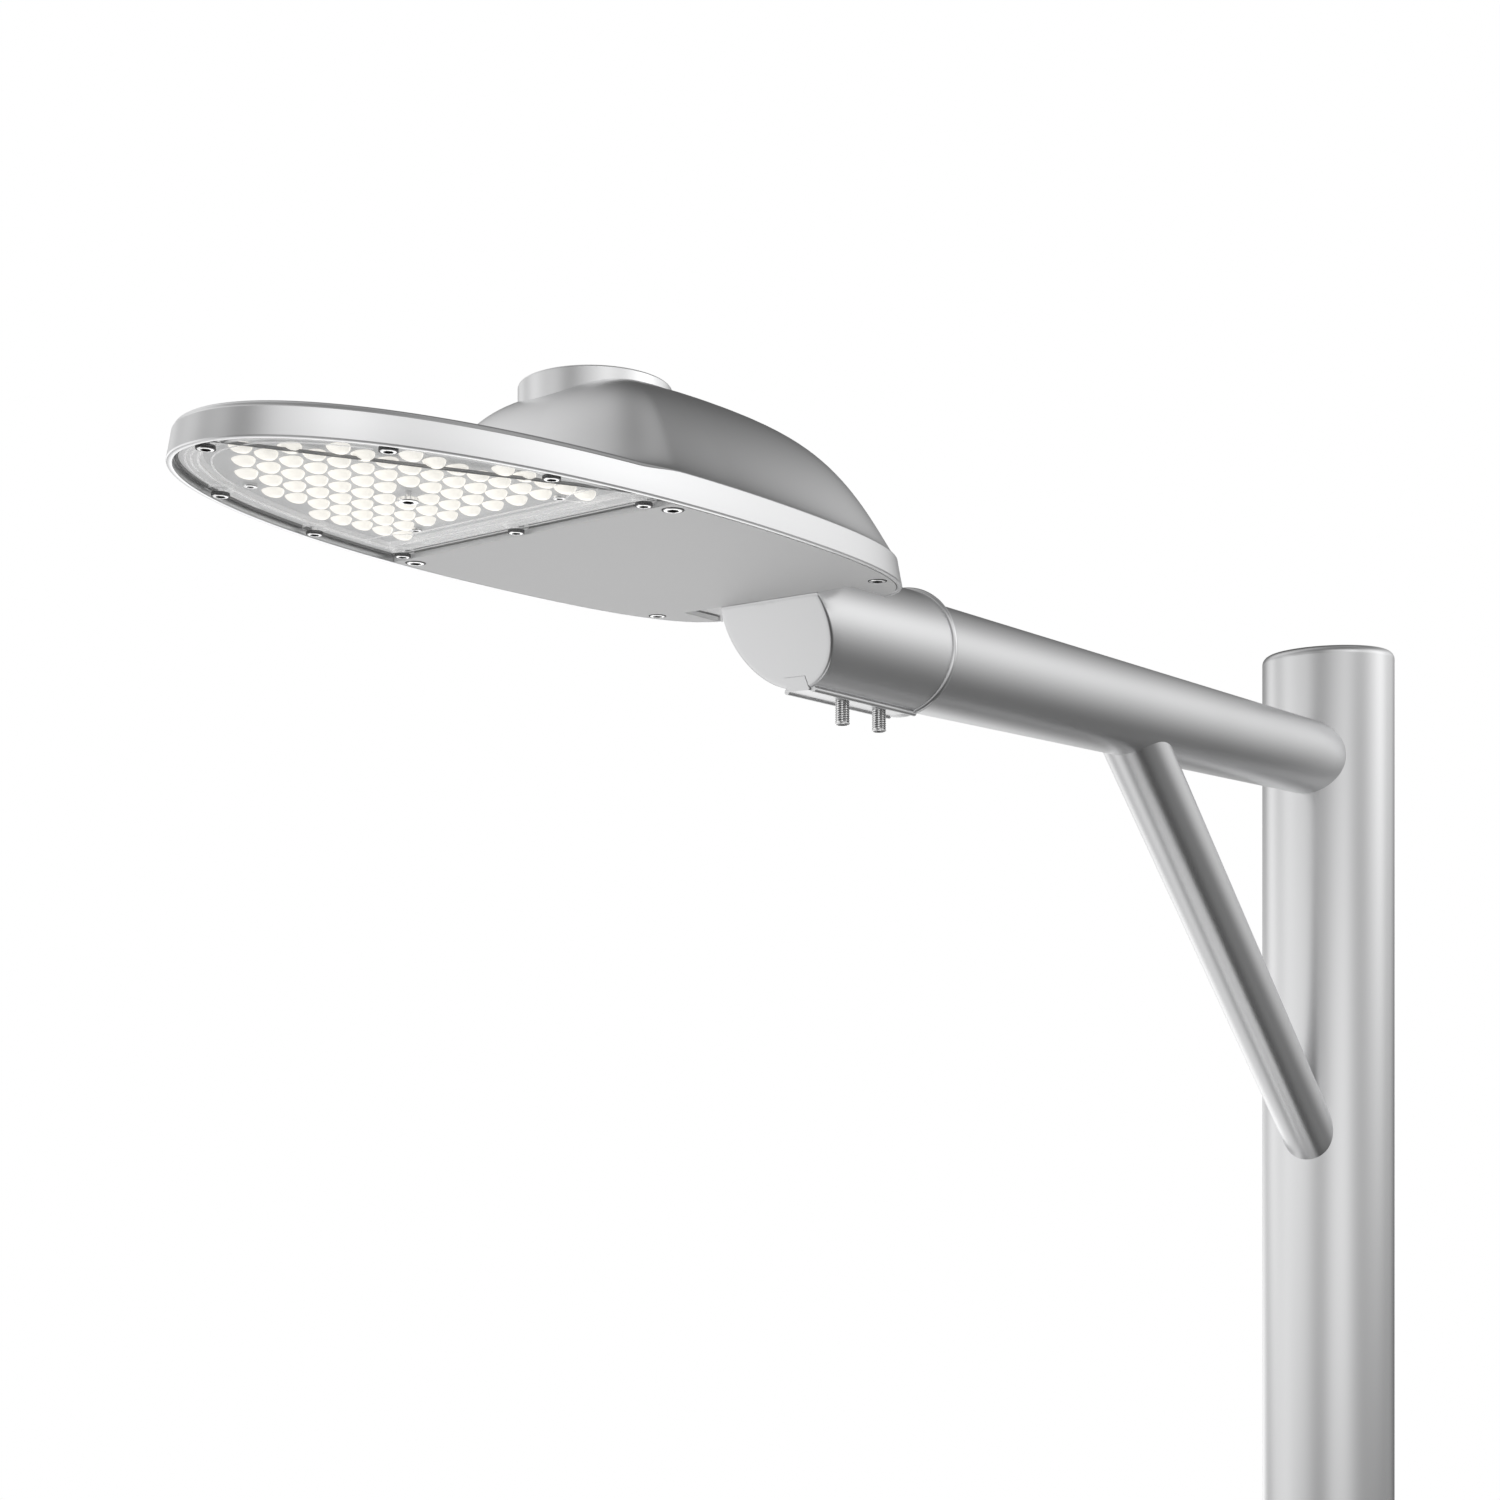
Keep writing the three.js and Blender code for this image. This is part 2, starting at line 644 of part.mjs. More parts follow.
const ledge = cover_t + gasket_t;
const pocket = outline_prism(0, -2, ledge);
const tray = outline_prism(-tray_inset, ledge - 1, tray_depth)
  .intersect(block(-head_tip, -tray_rear, -head_half_width, head_half_width, 0, plane + rim_height));
const seat_boss = upright(-dome_middle, 0, seat_z - dome_wall, seat_z + 100, seat_r + dome_wall, 32);
const compartment = join(
  outline_prism(-side_wall, ledge - 1, rim_height + 1),
  dome(-side_wall, dome_height - dome_wall, rim_height - 1, inner_shares),
).intersect(block(-gear_front, -gear_rear, -head_half_width, head_half_width, 0, 200)).subtract(seat_boss);
const notch = block(-notch_front, 20, -notch_half_width, notch_half_width, plane - 2, plane + notch_depth);

const casting = cut(
  skin,
  pocket,
  tray,
  compartment,
  notch,
  clamp_body(fit),
  upright(-dome_middle, 0, seat_z, seat_z + 100, seat_r, 40),
  upright(-dome_middle, 0, seat_z - 40, seat_z + 1, socket_r + fit, 24),
  bar([-gear_rear - 2, 0, gland_z], [0, 0, gland_z], gland_r + fit, 16),
  ...casting_holes,
);
piece('head_casting', casting, silver, head);

// ---------------------------------------------------------------- spigot clamp

/** A prism with a side view given by points (x, z), across the head's width. */
function side_prism(points, width) {
  const outline = new THREE.Shape(points.map(([x, z]) => new THREE.Vector2(x, z)));
  const prism = new THREE.ExtrudeGeometry(outline, { depth: width, bevelEnabled: false });
  prism.translate(0, 0, -width / 2);
  prism.rotateX(Math.PI / 2);
  return solid(prism);
}

const below = clamp_mouth_r * 2;
const slanted_front = side_prism([
  [-clamp_front - below, plane],
  [-clamp_front - below, -below],
  [-clamp_front + clamp_slant * (plane + below), -below],
  [-clamp_front, plane],
], clamp_mouth_r * 3);
const pad = side_prism([
  [-clamp_front, -spigot_r],
  [-clamp_front, -clamp_front_r - clamp_pad_proud],
  [0, -clamp_mouth_r - clamp_pad_proud],
  [0, -spigot_r],
], clamp_pad_width);
const clamp_ring = bar([-clamp_ring_width, 0, 0], [0, 0, 0], clamp_mouth_r + clamp_ring_proud, 40);
const screw_hole = (x) => upright(-x, 0, -clamp_mouth_r - 5, 0, set_screw_d / 2 + fit, 16);
piece('spigot_clamp', cut(
  join(clamp_body(0), clamp_ring, pad),
  slanted_front,
  bar([-spigot_length - 3, 0, 0], [1, 0, 0], spigot_r + sliding, 32),
  bar([-clamp_front - 1, 0, gland_z], [0, 0, gland_z], gland_r + fit, 16),
  ...set_screw_stations.map(screw_hole),
), silver, head);

set_screw_stations.forEach((x, i) => {
  const shank = upright(-x, 0, -set_screw_end, -spigot_r - fit, set_screw_d / 2, 16);
  const socket = upright(-x, 0, -set_screw_end - 1, -set_screw_end + 5, 2.9, 6);
  piece(`set_screw_${i + 1}`, shank.subtract(socket), stainless, head);
});

// ---------------------------------------------------------------- covers and seals

const wide = head_half_width * 2;
const in_front_of = (x) => block(-head_tip - wide, x, -wide, wide, -wide, wide);
const behind = (x) => block(x, wide, -wide, wide, -wide, wide);
const notch_grown = (grow) => block(
  -notch_front - grow, wide, -notch_half_width - grow, notch_half_width + grow, -wide, wide,
);

/** Clearance hole and counterbore for a flush screw head in a cover. */
const screw_seat = (x, y, shank_d, head_d) => join(
  upright(x, y, plane - 1, plane + cover_t + 1, shank_d / 2 + fit, 10),
  upright(x, y, plane - 1, plane + head_sink, head_d / 2 + fit, 14),
);

// A boss reaches from the lens cover's middle to the lens array, and the centre screw pulls it up.
const board_z = tray_depth - board_t;
const array_z = board_z - array_t;
const boss_top = plane + array_z - fit;
const centre_boss = upright(...centre_place, plane + cover_t - 0.5, boss_top, centre_boss_d / 2);
const centre_head_z = plane + centre_head_up;
piece('lens_cover', cut(
  join(outline_prism(-cover_gap, 0, cover_t).intersect(in_front_of(-partition - fit)), centre_boss),
  upright(...centre_place, plane - 1, centre_head_z + centre_head_t, centre_head_d / 2 + fit, 14),
  upright(...centre_place, plane, plane + tray_depth, board_screw_d / 2 + fit, 10),
  ...lens_screw_places.map(([x, y]) => screw_seat(x, y, lens_screw_d, lens_head_d)),
), clear_plastic, head);

piece('gear_cover', cut(
  outline_prism(-cover_gap, 0, cover_t).intersect(behind(-partition + fit)),
  notch_grown(fit),
  ...cover_screw_places.map(([x, y]) => screw_seat(x, y, cover_screw_d, cover_head_d)),
), grey_plate, head);

const seal_in = gasket_inset + gasket_width;
const seal_blank = (grow) => outline_prism(-grow, cover_t, ledge);
piece('lens_gasket', cut(
  seal_blank(gasket_inset).intersect(in_front_of(-partition - gasket_inset)),
  outline_prism(-seal_in, cover_t - 1, ledge + 1).intersect(in_front_of(-partition - seal_in)),
), rubber, head);
piece('gear_gasket', cut(
  seal_blank(gasket_inset).intersect(behind(-partition + gasket_inset)),
  notch_grown(gasket_inset),
  outline_prism(-seal_in, cover_t - 1, ledge + 1).intersect(behind(-partition + seal_in))
    .subtract(notch_grown(seal_in)),
), rubber, head);

/** A flat-headed screw with a hexagon socket, its head towards the ground. */
function cover_screw(x, y, shank_d, head_d) {
  const head_low = plane - head_proud;
  return cut(
    join(
      upright(x, y, head_low, plane + head_sink, head_d / 2, 12),
      upright(x, y, plane + head_sink, plane + screw_length, shank_d / 2, 8),
    ),
    upright(x, y, head_low - 1, head_low + 1.2, shank_d * 0.36, 6),
  );
}

lens_screw_places.forEach(([x, y], i) => {
  piece(`lens_screw_${i + 1}`, cover_screw(x, y, lens_screw_d, lens_head_d), stainless, head);
});
cover_screw_places.forEach(([x, y], i) => {
  piece(`cover_screw_${i + 1}`, cover_screw(x, y, cover_screw_d, cover_head_d), stainless, head);
});

// ---------------------------------------------------------------- LED board and lens array

const tray_clear = 1.5;
const tray_plate = (z0, z1) => outline_prism(-tray_inset - tray_clear, z0, z1)
  .intersect(in_front_of(-tray_rear - tray_clear));
const board_hole_r = board_screw_d / 2 + fit;
const board_holes = board_places.map(([x, y]) => (
  upright(x, y, plane, plane + tray_depth + 1, board_hole_r, 8)
));
piece('led_board', cut(tray_plate(board_z, tray_depth), ...board_holes), circuit_white, head);

const lens_clear = (led_lens_d + board_head_d) / 2;
const lenses = [];
for (let row = -4; row <= 4; row += 1) {
  const [first, last] = led_rows[Math.abs(row)];
  for (let column = first; column <= last; column += 1) {
    const [x, y] = [led_x(column), row * led_pitch_across];
    const taken = board_places.some(([sx, sy]) => Math.hypot(sx - x, sy - y) < lens_clear);
    if (taken) continue;
    const z = plane + array_z;
    lenses.push(bar([x, y, z + 0.5], [x, y, z - lens_height], led_lens_d / 2, 4, led_lens_d / 3));
  }
}
piece('lens_array', cut(join(tray_plate(array_z, board_z), ...lenses), ...board_holes), ivory, head);

board_screw_places.forEach(([x, y], i) => {
  const z = plane + array_z;
  piece(`board_screw_${i + 1}`, join(
    upright(x, y, z - 1.6, z, board_head_d / 2, 10),
    upright(x, y, z, plane + screw_length, board_screw_d / 2, 8),
  ), stainless, head);
});

piece('centre_screw', join(
  upright(...centre_place, centre_head_z, centre_head_z + centre_head_t, centre_head_d / 2, 12),
  upright(...centre_place, centre_head_z + centre_head_t, plane + screw_length, board_screw_d / 2, 8),
), stainless, head);

// ---------------------------------------------------------------- gear in the head

/** A box-shaped unit standing on the inside of the gear cover, with a groove along its top. */
function gear_unit(x, y, length, width, height) {
  const z0 = plane + cover_t;
  const body = block(x - length / 2, x + length / 2, y - width / 2, y + width / 2, z0, z0 + height);
  const groove_half = length / 2 - 5;
  const groove = block(x - groove_half, x + groove_half, y - 2, y + 2, z0 + height - 2, z0 + height + 1);
  return body.subtract(groove);
}

piece('led_driver', gear_unit(-265, -37, 136, 54, 30), gear_case, head);
piece('surge_protector', gear_unit(-315, 36, 52, 36, 26), black_plastic, head);
piece('terminal_block', gear_unit(-228, 36, 60, 28, 20), grey_plate, head);

piece('cable_gland', cut(
  join(
    bar([-gear_rear - 12, 0, gland_z], [-gear_rear, 0, gland_z], 7.5, 6),
    bar([-gear_rear, 0, gland_z], [gland_inner, 0, gland_z], gland_r, 16),
  ),
  bar([-gear_rear - 13, 0, gland_z], [gland_inner + 1, 0, gland_z], gland_bore_r, 12),
), black_plastic, head);

// ---------------------------------------------------------------- photocontrol

const flange_t = 3;
const contact_t = 3;
piece('photocontrol_socket', join(
  upright(-dome_middle, 0, seat_z - socket_depth, seat_z, socket_r, 24),
  upright(-dome_middle, 0, seat_z, seat_z + flange_t, socket_flange_d / 2, 32),
  upright(-dome_middle, 0, seat_z + flange_t, seat_z + flange_t + contact_t, socket_r, 24),
), black_plastic, head);

const cap_bore_r = socket_flange_d / 2 + 1.5;
piece('photocontrol_cap', cut(
  upright(-dome_middle, 0, seat_z + fit, plane + cap_top, cap_r, 40),
  upright(-dome_middle, 0, seat_z, seat_z + flange_t + contact_t + fit, cap_bore_r, 32),
), silver, head);

export default post;
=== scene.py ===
# %% [markdown]
# # A street lamp post, finished in Blender
#
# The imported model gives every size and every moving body. This lesson dresses it: a tall steel
# column with a side arm and a brace, and a flat cast head with an LED window, a smooth dome and
# a round photocontrol. Each piece is a surface worked out with numpy, in millimetres, and is
# scaled to metres as it becomes a mesh.

# %% Load the frame
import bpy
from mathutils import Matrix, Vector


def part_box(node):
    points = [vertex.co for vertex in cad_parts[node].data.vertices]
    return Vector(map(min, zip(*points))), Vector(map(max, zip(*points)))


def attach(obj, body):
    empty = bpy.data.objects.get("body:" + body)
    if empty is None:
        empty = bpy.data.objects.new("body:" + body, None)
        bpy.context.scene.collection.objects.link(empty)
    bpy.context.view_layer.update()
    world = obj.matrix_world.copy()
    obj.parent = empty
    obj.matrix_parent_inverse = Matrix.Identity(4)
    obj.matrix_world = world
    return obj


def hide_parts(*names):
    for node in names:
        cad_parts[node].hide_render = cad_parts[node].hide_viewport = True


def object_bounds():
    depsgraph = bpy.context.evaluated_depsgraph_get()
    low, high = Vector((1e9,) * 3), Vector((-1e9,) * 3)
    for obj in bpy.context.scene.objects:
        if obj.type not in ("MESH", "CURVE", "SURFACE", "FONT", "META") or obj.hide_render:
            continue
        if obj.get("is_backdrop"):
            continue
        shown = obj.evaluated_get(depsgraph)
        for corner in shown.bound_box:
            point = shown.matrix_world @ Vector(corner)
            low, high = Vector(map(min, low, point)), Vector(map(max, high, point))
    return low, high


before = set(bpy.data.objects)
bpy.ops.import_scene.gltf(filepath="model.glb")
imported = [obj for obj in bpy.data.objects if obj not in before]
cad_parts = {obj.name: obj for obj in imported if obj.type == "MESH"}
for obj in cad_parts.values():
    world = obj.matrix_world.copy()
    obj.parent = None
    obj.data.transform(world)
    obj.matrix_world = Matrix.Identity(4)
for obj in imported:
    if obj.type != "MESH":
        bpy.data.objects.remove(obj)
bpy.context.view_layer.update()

import math

import bmesh
import bpy
import numpy as np
from mathutils import Vector

TAU = 2 * math.pi


def frame_box(node):
    """The CAD node's corners in millimetres."""
    return [np.array(corner) * 1000 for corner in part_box(node)]


# %% [markdown]
# The frame tells where things are. The arm's axis, the column's radius and the plane of the
# covers are read from the boxes of the CAD nodes, so a longer arm moves everything drawn here.

# %% Read the main sizes
pole_low, pole_high = frame_box("pole_tube")
arm_low, arm_high = frame_box("arm_tube")
pole_r = pole_high[0]
pole_height = frame_box("pole_cap")[1][2]
arm_z = (arm_low[2] + arm_high[2]) / 2
arm_r = (arm_high[2] - arm_low[2]) / 2
mouth_x = frame_box("spigot_clamp")[1][0]
HEAD = np.array([mouth_x, 0, arm_z])
plane = frame_box("lens_cover")[0][2] - arm_z
print("column radius", pole_r, "arm radius", arm_r, "arm axis", arm_z, "cover plane", plane)

# %% [markdown]
# A small mesh maker. `grid` joins a two-way table of points into quads and can close its ends.
# Doubled points are merged and the faces turned outwards at the end, so a profile may be drawn
# in either direction. A weighted-normal modifier keeps flats flat next to rounded edges.


# %% The mesh maker
class Shell:
    """Collects tables of points, in millimetres, and the faces between them."""

    def __init__(self):
        self.points, self.faces, self.count = [], [], 0

    def _add(self, table):
        flat = np.asarray(table, float).reshape(-1, 3)
        numbers = np.arange(self.count, self.count + len(flat))
        self.points.append(flat)
        self.count += len(flat)
        return numbers

    def grid(self, table, around=True, ends=()):
        """Quads over table[row, column]; columns close on themselves if around. ends: rows to lid."""
        table = np.asarray(table, float)
        rows, columns = table.shape[:2]
        number = self._add(table).reshape(rows, columns)
        wrapped = np.hstack([number, number[:, :1]]) if around else number
        quads = np.stack([wrapped[:-1, :-1], wrapped[:-1, 1:], wrapped[1:, 1:], wrapped[1:, :-1]], -1)
        self.faces.extend(quads.reshape(-1, 4).tolist())
        self.faces.extend(number[row].tolist() for row in ends)
        return self

    def solid_grid(self, table, ends=(0, -1)):
        """A grid that closes around, with a lid on its first and last rows."""
        return self.grid(table, True, ends)


def make(name, shell, finish, body, nodes=(), at=(0, 0, 0), sharp=30):
    """Turns a Shell into an object that rides on a body and replaces the named CAD nodes."""
    points = (np.vstack(shell.points) + np.asarray(at, float)) / 1000
    mesh = bpy.data.meshes.new(name)
    mesh.from_pydata(points.tolist(), [], shell.faces)
    work = bmesh.new()
    work.from_mesh(mesh)
    bmesh.ops.remove_doubles(work, verts=work.verts, dist=2e-6)
    bmesh.ops.dissolve_degenerate(work, edges=work.edges, dist=1e-6)
    bmesh.ops.recalc_face_normals(work, faces=work.faces)
    work.to_mesh(mesh)
    work.free()
    piece = bpy.data.objects.new(name, mesh)
    bpy.context.collection.objects.link(piece)
    mesh.materials.append(finish)
    smooth(mesh, sharp)
    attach(piece, body)
    if nodes:
        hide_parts(*nodes)
    print(f"{name}: {len(mesh.polygons)} faces")
    return piece


def smooth(mesh, degrees):
    """Smooth shading with a hard edge wherever two faces meet at more than that angle."""
    mesh.shade_smooth()
    mesh.set_sharp_from_angle(angle=math.radians(degrees))


def settle(piece):
    """Weighted normals, so that a big flat face stays flat beside a rounded edge."""
    modifier = piece.modifiers.new("Even shading", "WEIGHTED_NORMAL")
    modifier.keep_sharp = True
    modifier.weight = 80
    return piece


# %% [markdown]
# Most pieces of a lamp post are turned or extruded, so three shapes do nearly everything: a
# profile turned round an axis, a plate with an outline and holes, and a tube whose ends are cut
# to fit another tube.


# %% Turned and extruded shapes
def ring(radius, z, angle):
    """Points about Z: x = r cos a, y = r sin a, at height z. The radius may change with the angle."""
    return np.stack([radius * np.cos(angle), radius * np.sin(angle), z + 0 * angle], -1)


def hexagon(flat, angle):
    """A hexagon's radius in each direction: r = f / cos a, with a measured from the nearest flat."""
    return flat / np.cos((angle + math.pi / 6) % (math.pi / 3) - math.pi / 6)


def turned(profile, sides=96, turn=0.0):
    """A profile of (radius, height) turned round Z: x = r cos a, y = r sin a, z = height."""
    profile = np.asarray(profile, float)
    angle = np.arange(sides) * TAU / sides + turn
    return ring(profile[:, :1], profile[:, 1:], angle)


def arc(centre, radius, start, end, steps=6):
    """Points on a circle from one angle to another, in degrees."""
    a = np.radians(np.linspace(start, end, steps))
    return np.stack([centre[0] + radius * np.cos(a), centre[1] + radius * np.sin(a)], -1)


def circle(x, y, radius, sides=48, turn=0.0):
    """A ring of points in the plane."""
    a = np.arange(sides) * TAU / sides + turn
    return np.stack([x + radius * np.cos(a), y + radius * np.sin(a)], -1)


def rounded_box(width, height, corner, steps=6):
    """A rectangle's outline with round corners, centred."""
    w, h = width / 2 - corner, height / 2 - corner
    corners = [((w, h), 0), ((-w, h), 90), ((-w, -h), 180), ((w, -h), 270)]
    return np.vstack([arc(c, corner, a, a + 90, steps) for c, a in corners])


def grown(loop, distance):
    """An outline moved outwards along its own normals: each point goes by distance."""
    ahead, behind = np.roll(loop, -1, 0), np.roll(loop, 1, 0)
    edge_in, edge_out = loop - behind, ahead - loop
    edge_in /= np.linalg.norm(edge_in, axis=1, keepdims=True) + 1e-12
    edge_out /= np.linalg.norm(edge_out, axis=1, keepdims=True) + 1e-12
    normal = np.stack([(edge_in + edge_out)[:, 1], -(edge_in + edge_out)[:, 0]], -1)
    normal /= np.linalg.norm(normal, axis=1, keepdims=True) + 1e-12
    bend = np.clip((normal * np.stack([edge_in[:, 1], -edge_in[:, 0]], -1)).sum(1), 0.5, 1)
    area = (loop[:, 0] * ahead[:, 1] - ahead[:, 0] * loop[:, 1]).sum()
    return loop + normal * (distance * np.sign(area) / bend)[:, None]


def at_height(loop, z):
    """A flat outline lifted to a height."""
    return np.column_stack([loop, np.full(len(loop), float(z))])


def walls(shell, loop, z0, z1, edge, hole=False):
    """The rim of a plate: a bevel, the side, and a bevel again. Gives back the outline of its faces."""
    inset = grown(loop, edge if hole else -edge)
    middle = grown(loop, (edge if hole else -edge) * 0.3)
    rows = [(inset, z0), (middle, z0 + edge * 0.3), (loop, z0 + edge),
            (loop, z1 - edge), (middle, z1 - edge * 0.3), (inset, z1)]
    shell.grid(np.stack([at_height(ring, z) for ring, z in rows]))
    return inset


def plate(shell, outline, holes, z0, z1, edge=0.5):
    """A flat plate between two heights, with its outline and holes bevelled by edge."""
    loops = [walls(shell, outline, z0, z1, edge)]
    loops += [walls(shell, hole, z0, z1, edge, True) for hole in holes]
    for z in (z0, z1):
        work = bmesh.new()
        edges = []
        for loop in loops:
            corners = [work.verts.new((x, y, z)) for x, y in loop]
            edges += [work.edges.new((a, b)) for a, b in zip(corners, corners[1:] + corners[:1])]
        bmesh.ops.triangle_fill(work, edges=edges, use_beauty=True, use_dissolve=False)
        work.verts.index_update()
        start = shell.count
        shell._add([v.co[:] for v in work.verts])
        shell.faces.extend([start + v.index for v in face.verts] for face in work.faces)
        work.free()
    return shell


# %% [markdown]
# Shader maths reads better as Python than as boxes and noodles. `Socket` wraps one output and
# turns +, - and * into Math nodes; `Finish` wraps one node tree and adds any other node with a
# single method.


# %% Shader sockets as numbers
class Socket:
    """One value inside a material; the operators add Math nodes."""

    def __init__(self, finish, link):
        self.finish, self.link = finish, link

    def _math(self, operation, first, second):
        return self.finish.node("ShaderNodeMath", {"operation": operation}, [first, second])

    def __add__(self, other):
        return self._math("ADD", self, other)

    def __sub__(self, other):
        return self._math("SUBTRACT", self, other)

    def __rsub__(self, other):
        return self._math("SUBTRACT", other, self)

    def __mul__(self, other):
        return self._math("MULTIPLY", self, other)

    __radd__, __rmul__ = __add__, __mul__


class Finish:
    """A node tree being filled in."""

    def __init__(self, tree):
        self.tree = tree
        tree.nodes.clear()

    def node(self, kind, settings=None, inputs=None, output=0):
        """Adds a node, sets its settings, then its inputs by number or name. Gives back one output."""
        made = self.tree.nodes.new(kind)
        for key, value in (settings or {}).items():
            if key == "stops":
                self._stops(made.color_ramp, value)
            else:
                setattr(made, key, value)
        pairs = inputs.items() if isinstance(inputs, dict) else enumerate(inputs or [])
        for key, value in pairs:
            if isinstance(value, Socket):
                self.tree.links.new(value.link, made.inputs[key])
            else:
                made.inputs[key].default_value = value
        return Socket(self, made.outputs[output]) if len(made.outputs) else made

    @staticmethod
    def _stops(ramp, stops):
        while len(ramp.elements) < len(stops):
            ramp.elements.new(1.0)
        for element, (place, colour) in zip(ramp.elements, stops):
            element.position, element.color = place, (*colour, 1)


def material(name, colour, build):
    """A new material; build(finish) gives back the inputs to set on its main shader."""
    made = bpy.data.materials.new(name)
    made.use_nodes = True
    made.diffuse_color = (*colour, 1)
    finish = Finish(made.node_tree)
    shader = finish.node("ShaderNodeBsdfPrincipled", None, build(finish))
    finish.node("ShaderNodeOutputMaterial", None, {"Surface": shader})
    return made


# %% [markdown]
# Steel and aluminium street furniture is sprayed with a silver paint: metal flakes in a satin
# lacquer. The flakes are far too small to see one by one, so they only break up the colour and
# the roughness a little, and a broad, faint cloud keeps long tubes from looking computed.


# %% Silver paint
def grain(finish, scale, detail=2.0, stretch=(1, 1, 1)):
    """Noise from 0 to 1 over object coordinates, optionally stretched."""
    place = finish.node("ShaderNodeTexCoord", output="Object")
    spread = finish.node("ShaderNodeMapping", None, {"Vector": place, "Scale": stretch})
    return finish.node("ShaderNodeTexNoise", None, {"Vector": spread, "Scale": scale, "Detail": detail})


def two_tone(finish, mask, dark, light):
    """A colour between two, by a mask."""
    return finish.node("ShaderNodeMix", {"data_type": "RGBA"},
                       {0: mask, 6: (*dark, 1), 7: (*light, 1)}, output=2)


def bump(finish, height, strength, distance):
    """A bump normal from a height."""
    return finish.node("ShaderNodeBump", None, {"Strength": strength, "Distance": distance, "Height": height})


def silver_paint(name, level, rough, stretch=(1, 1, 1), metal=0.96):
    """Satin silver paint: flake sparkle, a faint cloud, and a whisper of orange peel."""

    def build(finish):
        flakes = grain(finish, 2600, 1.0)
        cloud = grain(finish, 9, 3.0, stretch)
        peel = grain(finish, 700, 2.0)
        shade = flakes * 0.35 + cloud * 0.65
        dark = [c * 0.955 for c in level]
        light = [min(1.0, c * 1.045) for c in level]
        return {
            "Base Color": two_tone(finish, shade, dark, light),
            "Metallic": metal,
            "Roughness": rough - 0.03 + flakes * 0.04 + cloud * 0.02,
            "Normal": bump(finish, peel, 0.06, 0.0002),
        }

    return material(name, level, build)


silver_steel = silver_paint("Silver paint on steel", (0.74, 0.742, 0.747), 0.3, (1, 1, 0.25))
silver_cast = silver_paint("Silver paint on the casting", (0.90, 0.902, 0.907), 0.3)
silver_clamp = silver_paint("Silver paint on the clamp", (0.78, 0.782, 0.787), 0.3)


# %% [markdown]
# The rest of the finishes: the matt grey plate under the head, bare stainless screws, dull zinc
# on the hidden fixings, rubber seals, plastics, and the clear cover with ivory lenses behind it.


# %% Other finishes
def plain_finish(name, colour, rough, metal=0.0, size=300, spread=0.04, relief=0.0, more=None):
    """A finish with a fine grain in colour and roughness, and optional relief."""
    dark, light = [c * (1 - spread) for c in colour], [min(1, c * (1 + spread)) for c in colour]

    def build(finish):
        specks = grain(finish, size, 3.0)
        inputs = {
            "Base Color": two_tone(finish, specks, dark, light),
            "Metallic": metal,
            "Roughness": rough - 0.03 + specks * 0.06,
        }
        if relief:
            inputs["Normal"] = bump(finish, specks, relief, 0.0003)
        inputs.update(more or {})
        return inputs

    return material(name, colour, build)


grey_plate = plain_finish("Grey plate", (0.92, 0.92, 0.92), 0.55, 0.2, 1500, 0.02, 0.05)
# Painted light: the bare inside glows faintly white, standing in for the light that comes in through the
# clear cover.
bare_casting_painted_glow = plain_finish("Bare casting inside", (0.80, 0.80, 0.80), 0.6, 0.1, 600, 0.04, 0.1,
                           more={"Emission Color": (1.0, 1.0, 1.0, 1), "Emission Strength": 0.2})
stainless = plain_finish("Stainless steel", (0.92, 0.92, 0.92), 0.2, 1.0, 900, 0.03)
zinc = plain_finish("Dull zinc", (0.50, 0.52, 0.53), 0.45, 0.9, 60, 0.14, 0.1)
# Painted shade: near-black, for the bottoms of thread grooves and socket wells, where little light gets in.
painted_shade = plain_finish("Dark recess", (0.015, 0.015, 0.016), 0.6, 0.0, 500, 0.1)
seal_rubber = plain_finish("Seal rubber", (0.30, 0.30, 0.30), 0.75, 0.0, 800, 0.1, 0.1)
black_plastic = plain_finish("Black plastic", (0.03, 0.03, 0.032), 0.5, 0.0, 700, 0.15, 0.1)
grey_plastic = plain_finish("Grey plastic", (0.42, 0.43, 0.43), 0.5, 0.0, 700, 0.05, 0.1)
off_white = plain_finish("Off-white case", (0.75, 0.75, 0.72), 0.45, 0.0, 700, 0.03, 0.1)
# Painted light: the white board glows faintly, standing in for the light that reaches it through the clear
# cover.
board_white_painted_glow = plain_finish("White circuit board", (0.60, 0.605, 0.61), 0.4, 0.0, 500, 0.02,
                             more={"Emission Color": (1.0, 1.0, 1.0, 1), "Emission Strength": 0.16})
# Painted light: the ivory lenses glow warmly, standing in for the light that reaches them through the clear
# cover.
ivory_painted_glow = plain_finish("Ivory lenses", (0.93, 0.91, 0.86), 0.18, 0.0, 400, 0.02,
                     more={"Emission Color": (1.0, 0.97, 0.9, 1), "Emission Strength": 0.62})


def clear_sheet(name, tint, alpha, rough, painted_glow=0.0):
    """Clear plastic: mostly see-through, with a glossy skin, and an optional faint painted glow that stands
    in for the light that runs inside it.
    """

    def build(finish):
        haze = grain(finish, 40, 2.0)
        return {
            "Base Color": two_tone(finish, haze, [c * 0.97 for c in tint], tint),
            "Roughness": rough,
            "Alpha": alpha,
            "IOR": 1.5,
            "Emission Color": (*tint, 1),
            "Emission Strength": painted_glow,
        }

    return material(name, tint, build)


clear_cover = clear_sheet("Clear cover", (0.86, 0.87, 0.87), 0.05, 0.05)
# Painted light: the ribs glow faintly, standing in for the light that runs inside the clear plastic.
clear_rib_painted_glow = clear_sheet("Clear cover ribs", (0.95, 0.95, 0.95), 0.5, 0.15, 0.2)

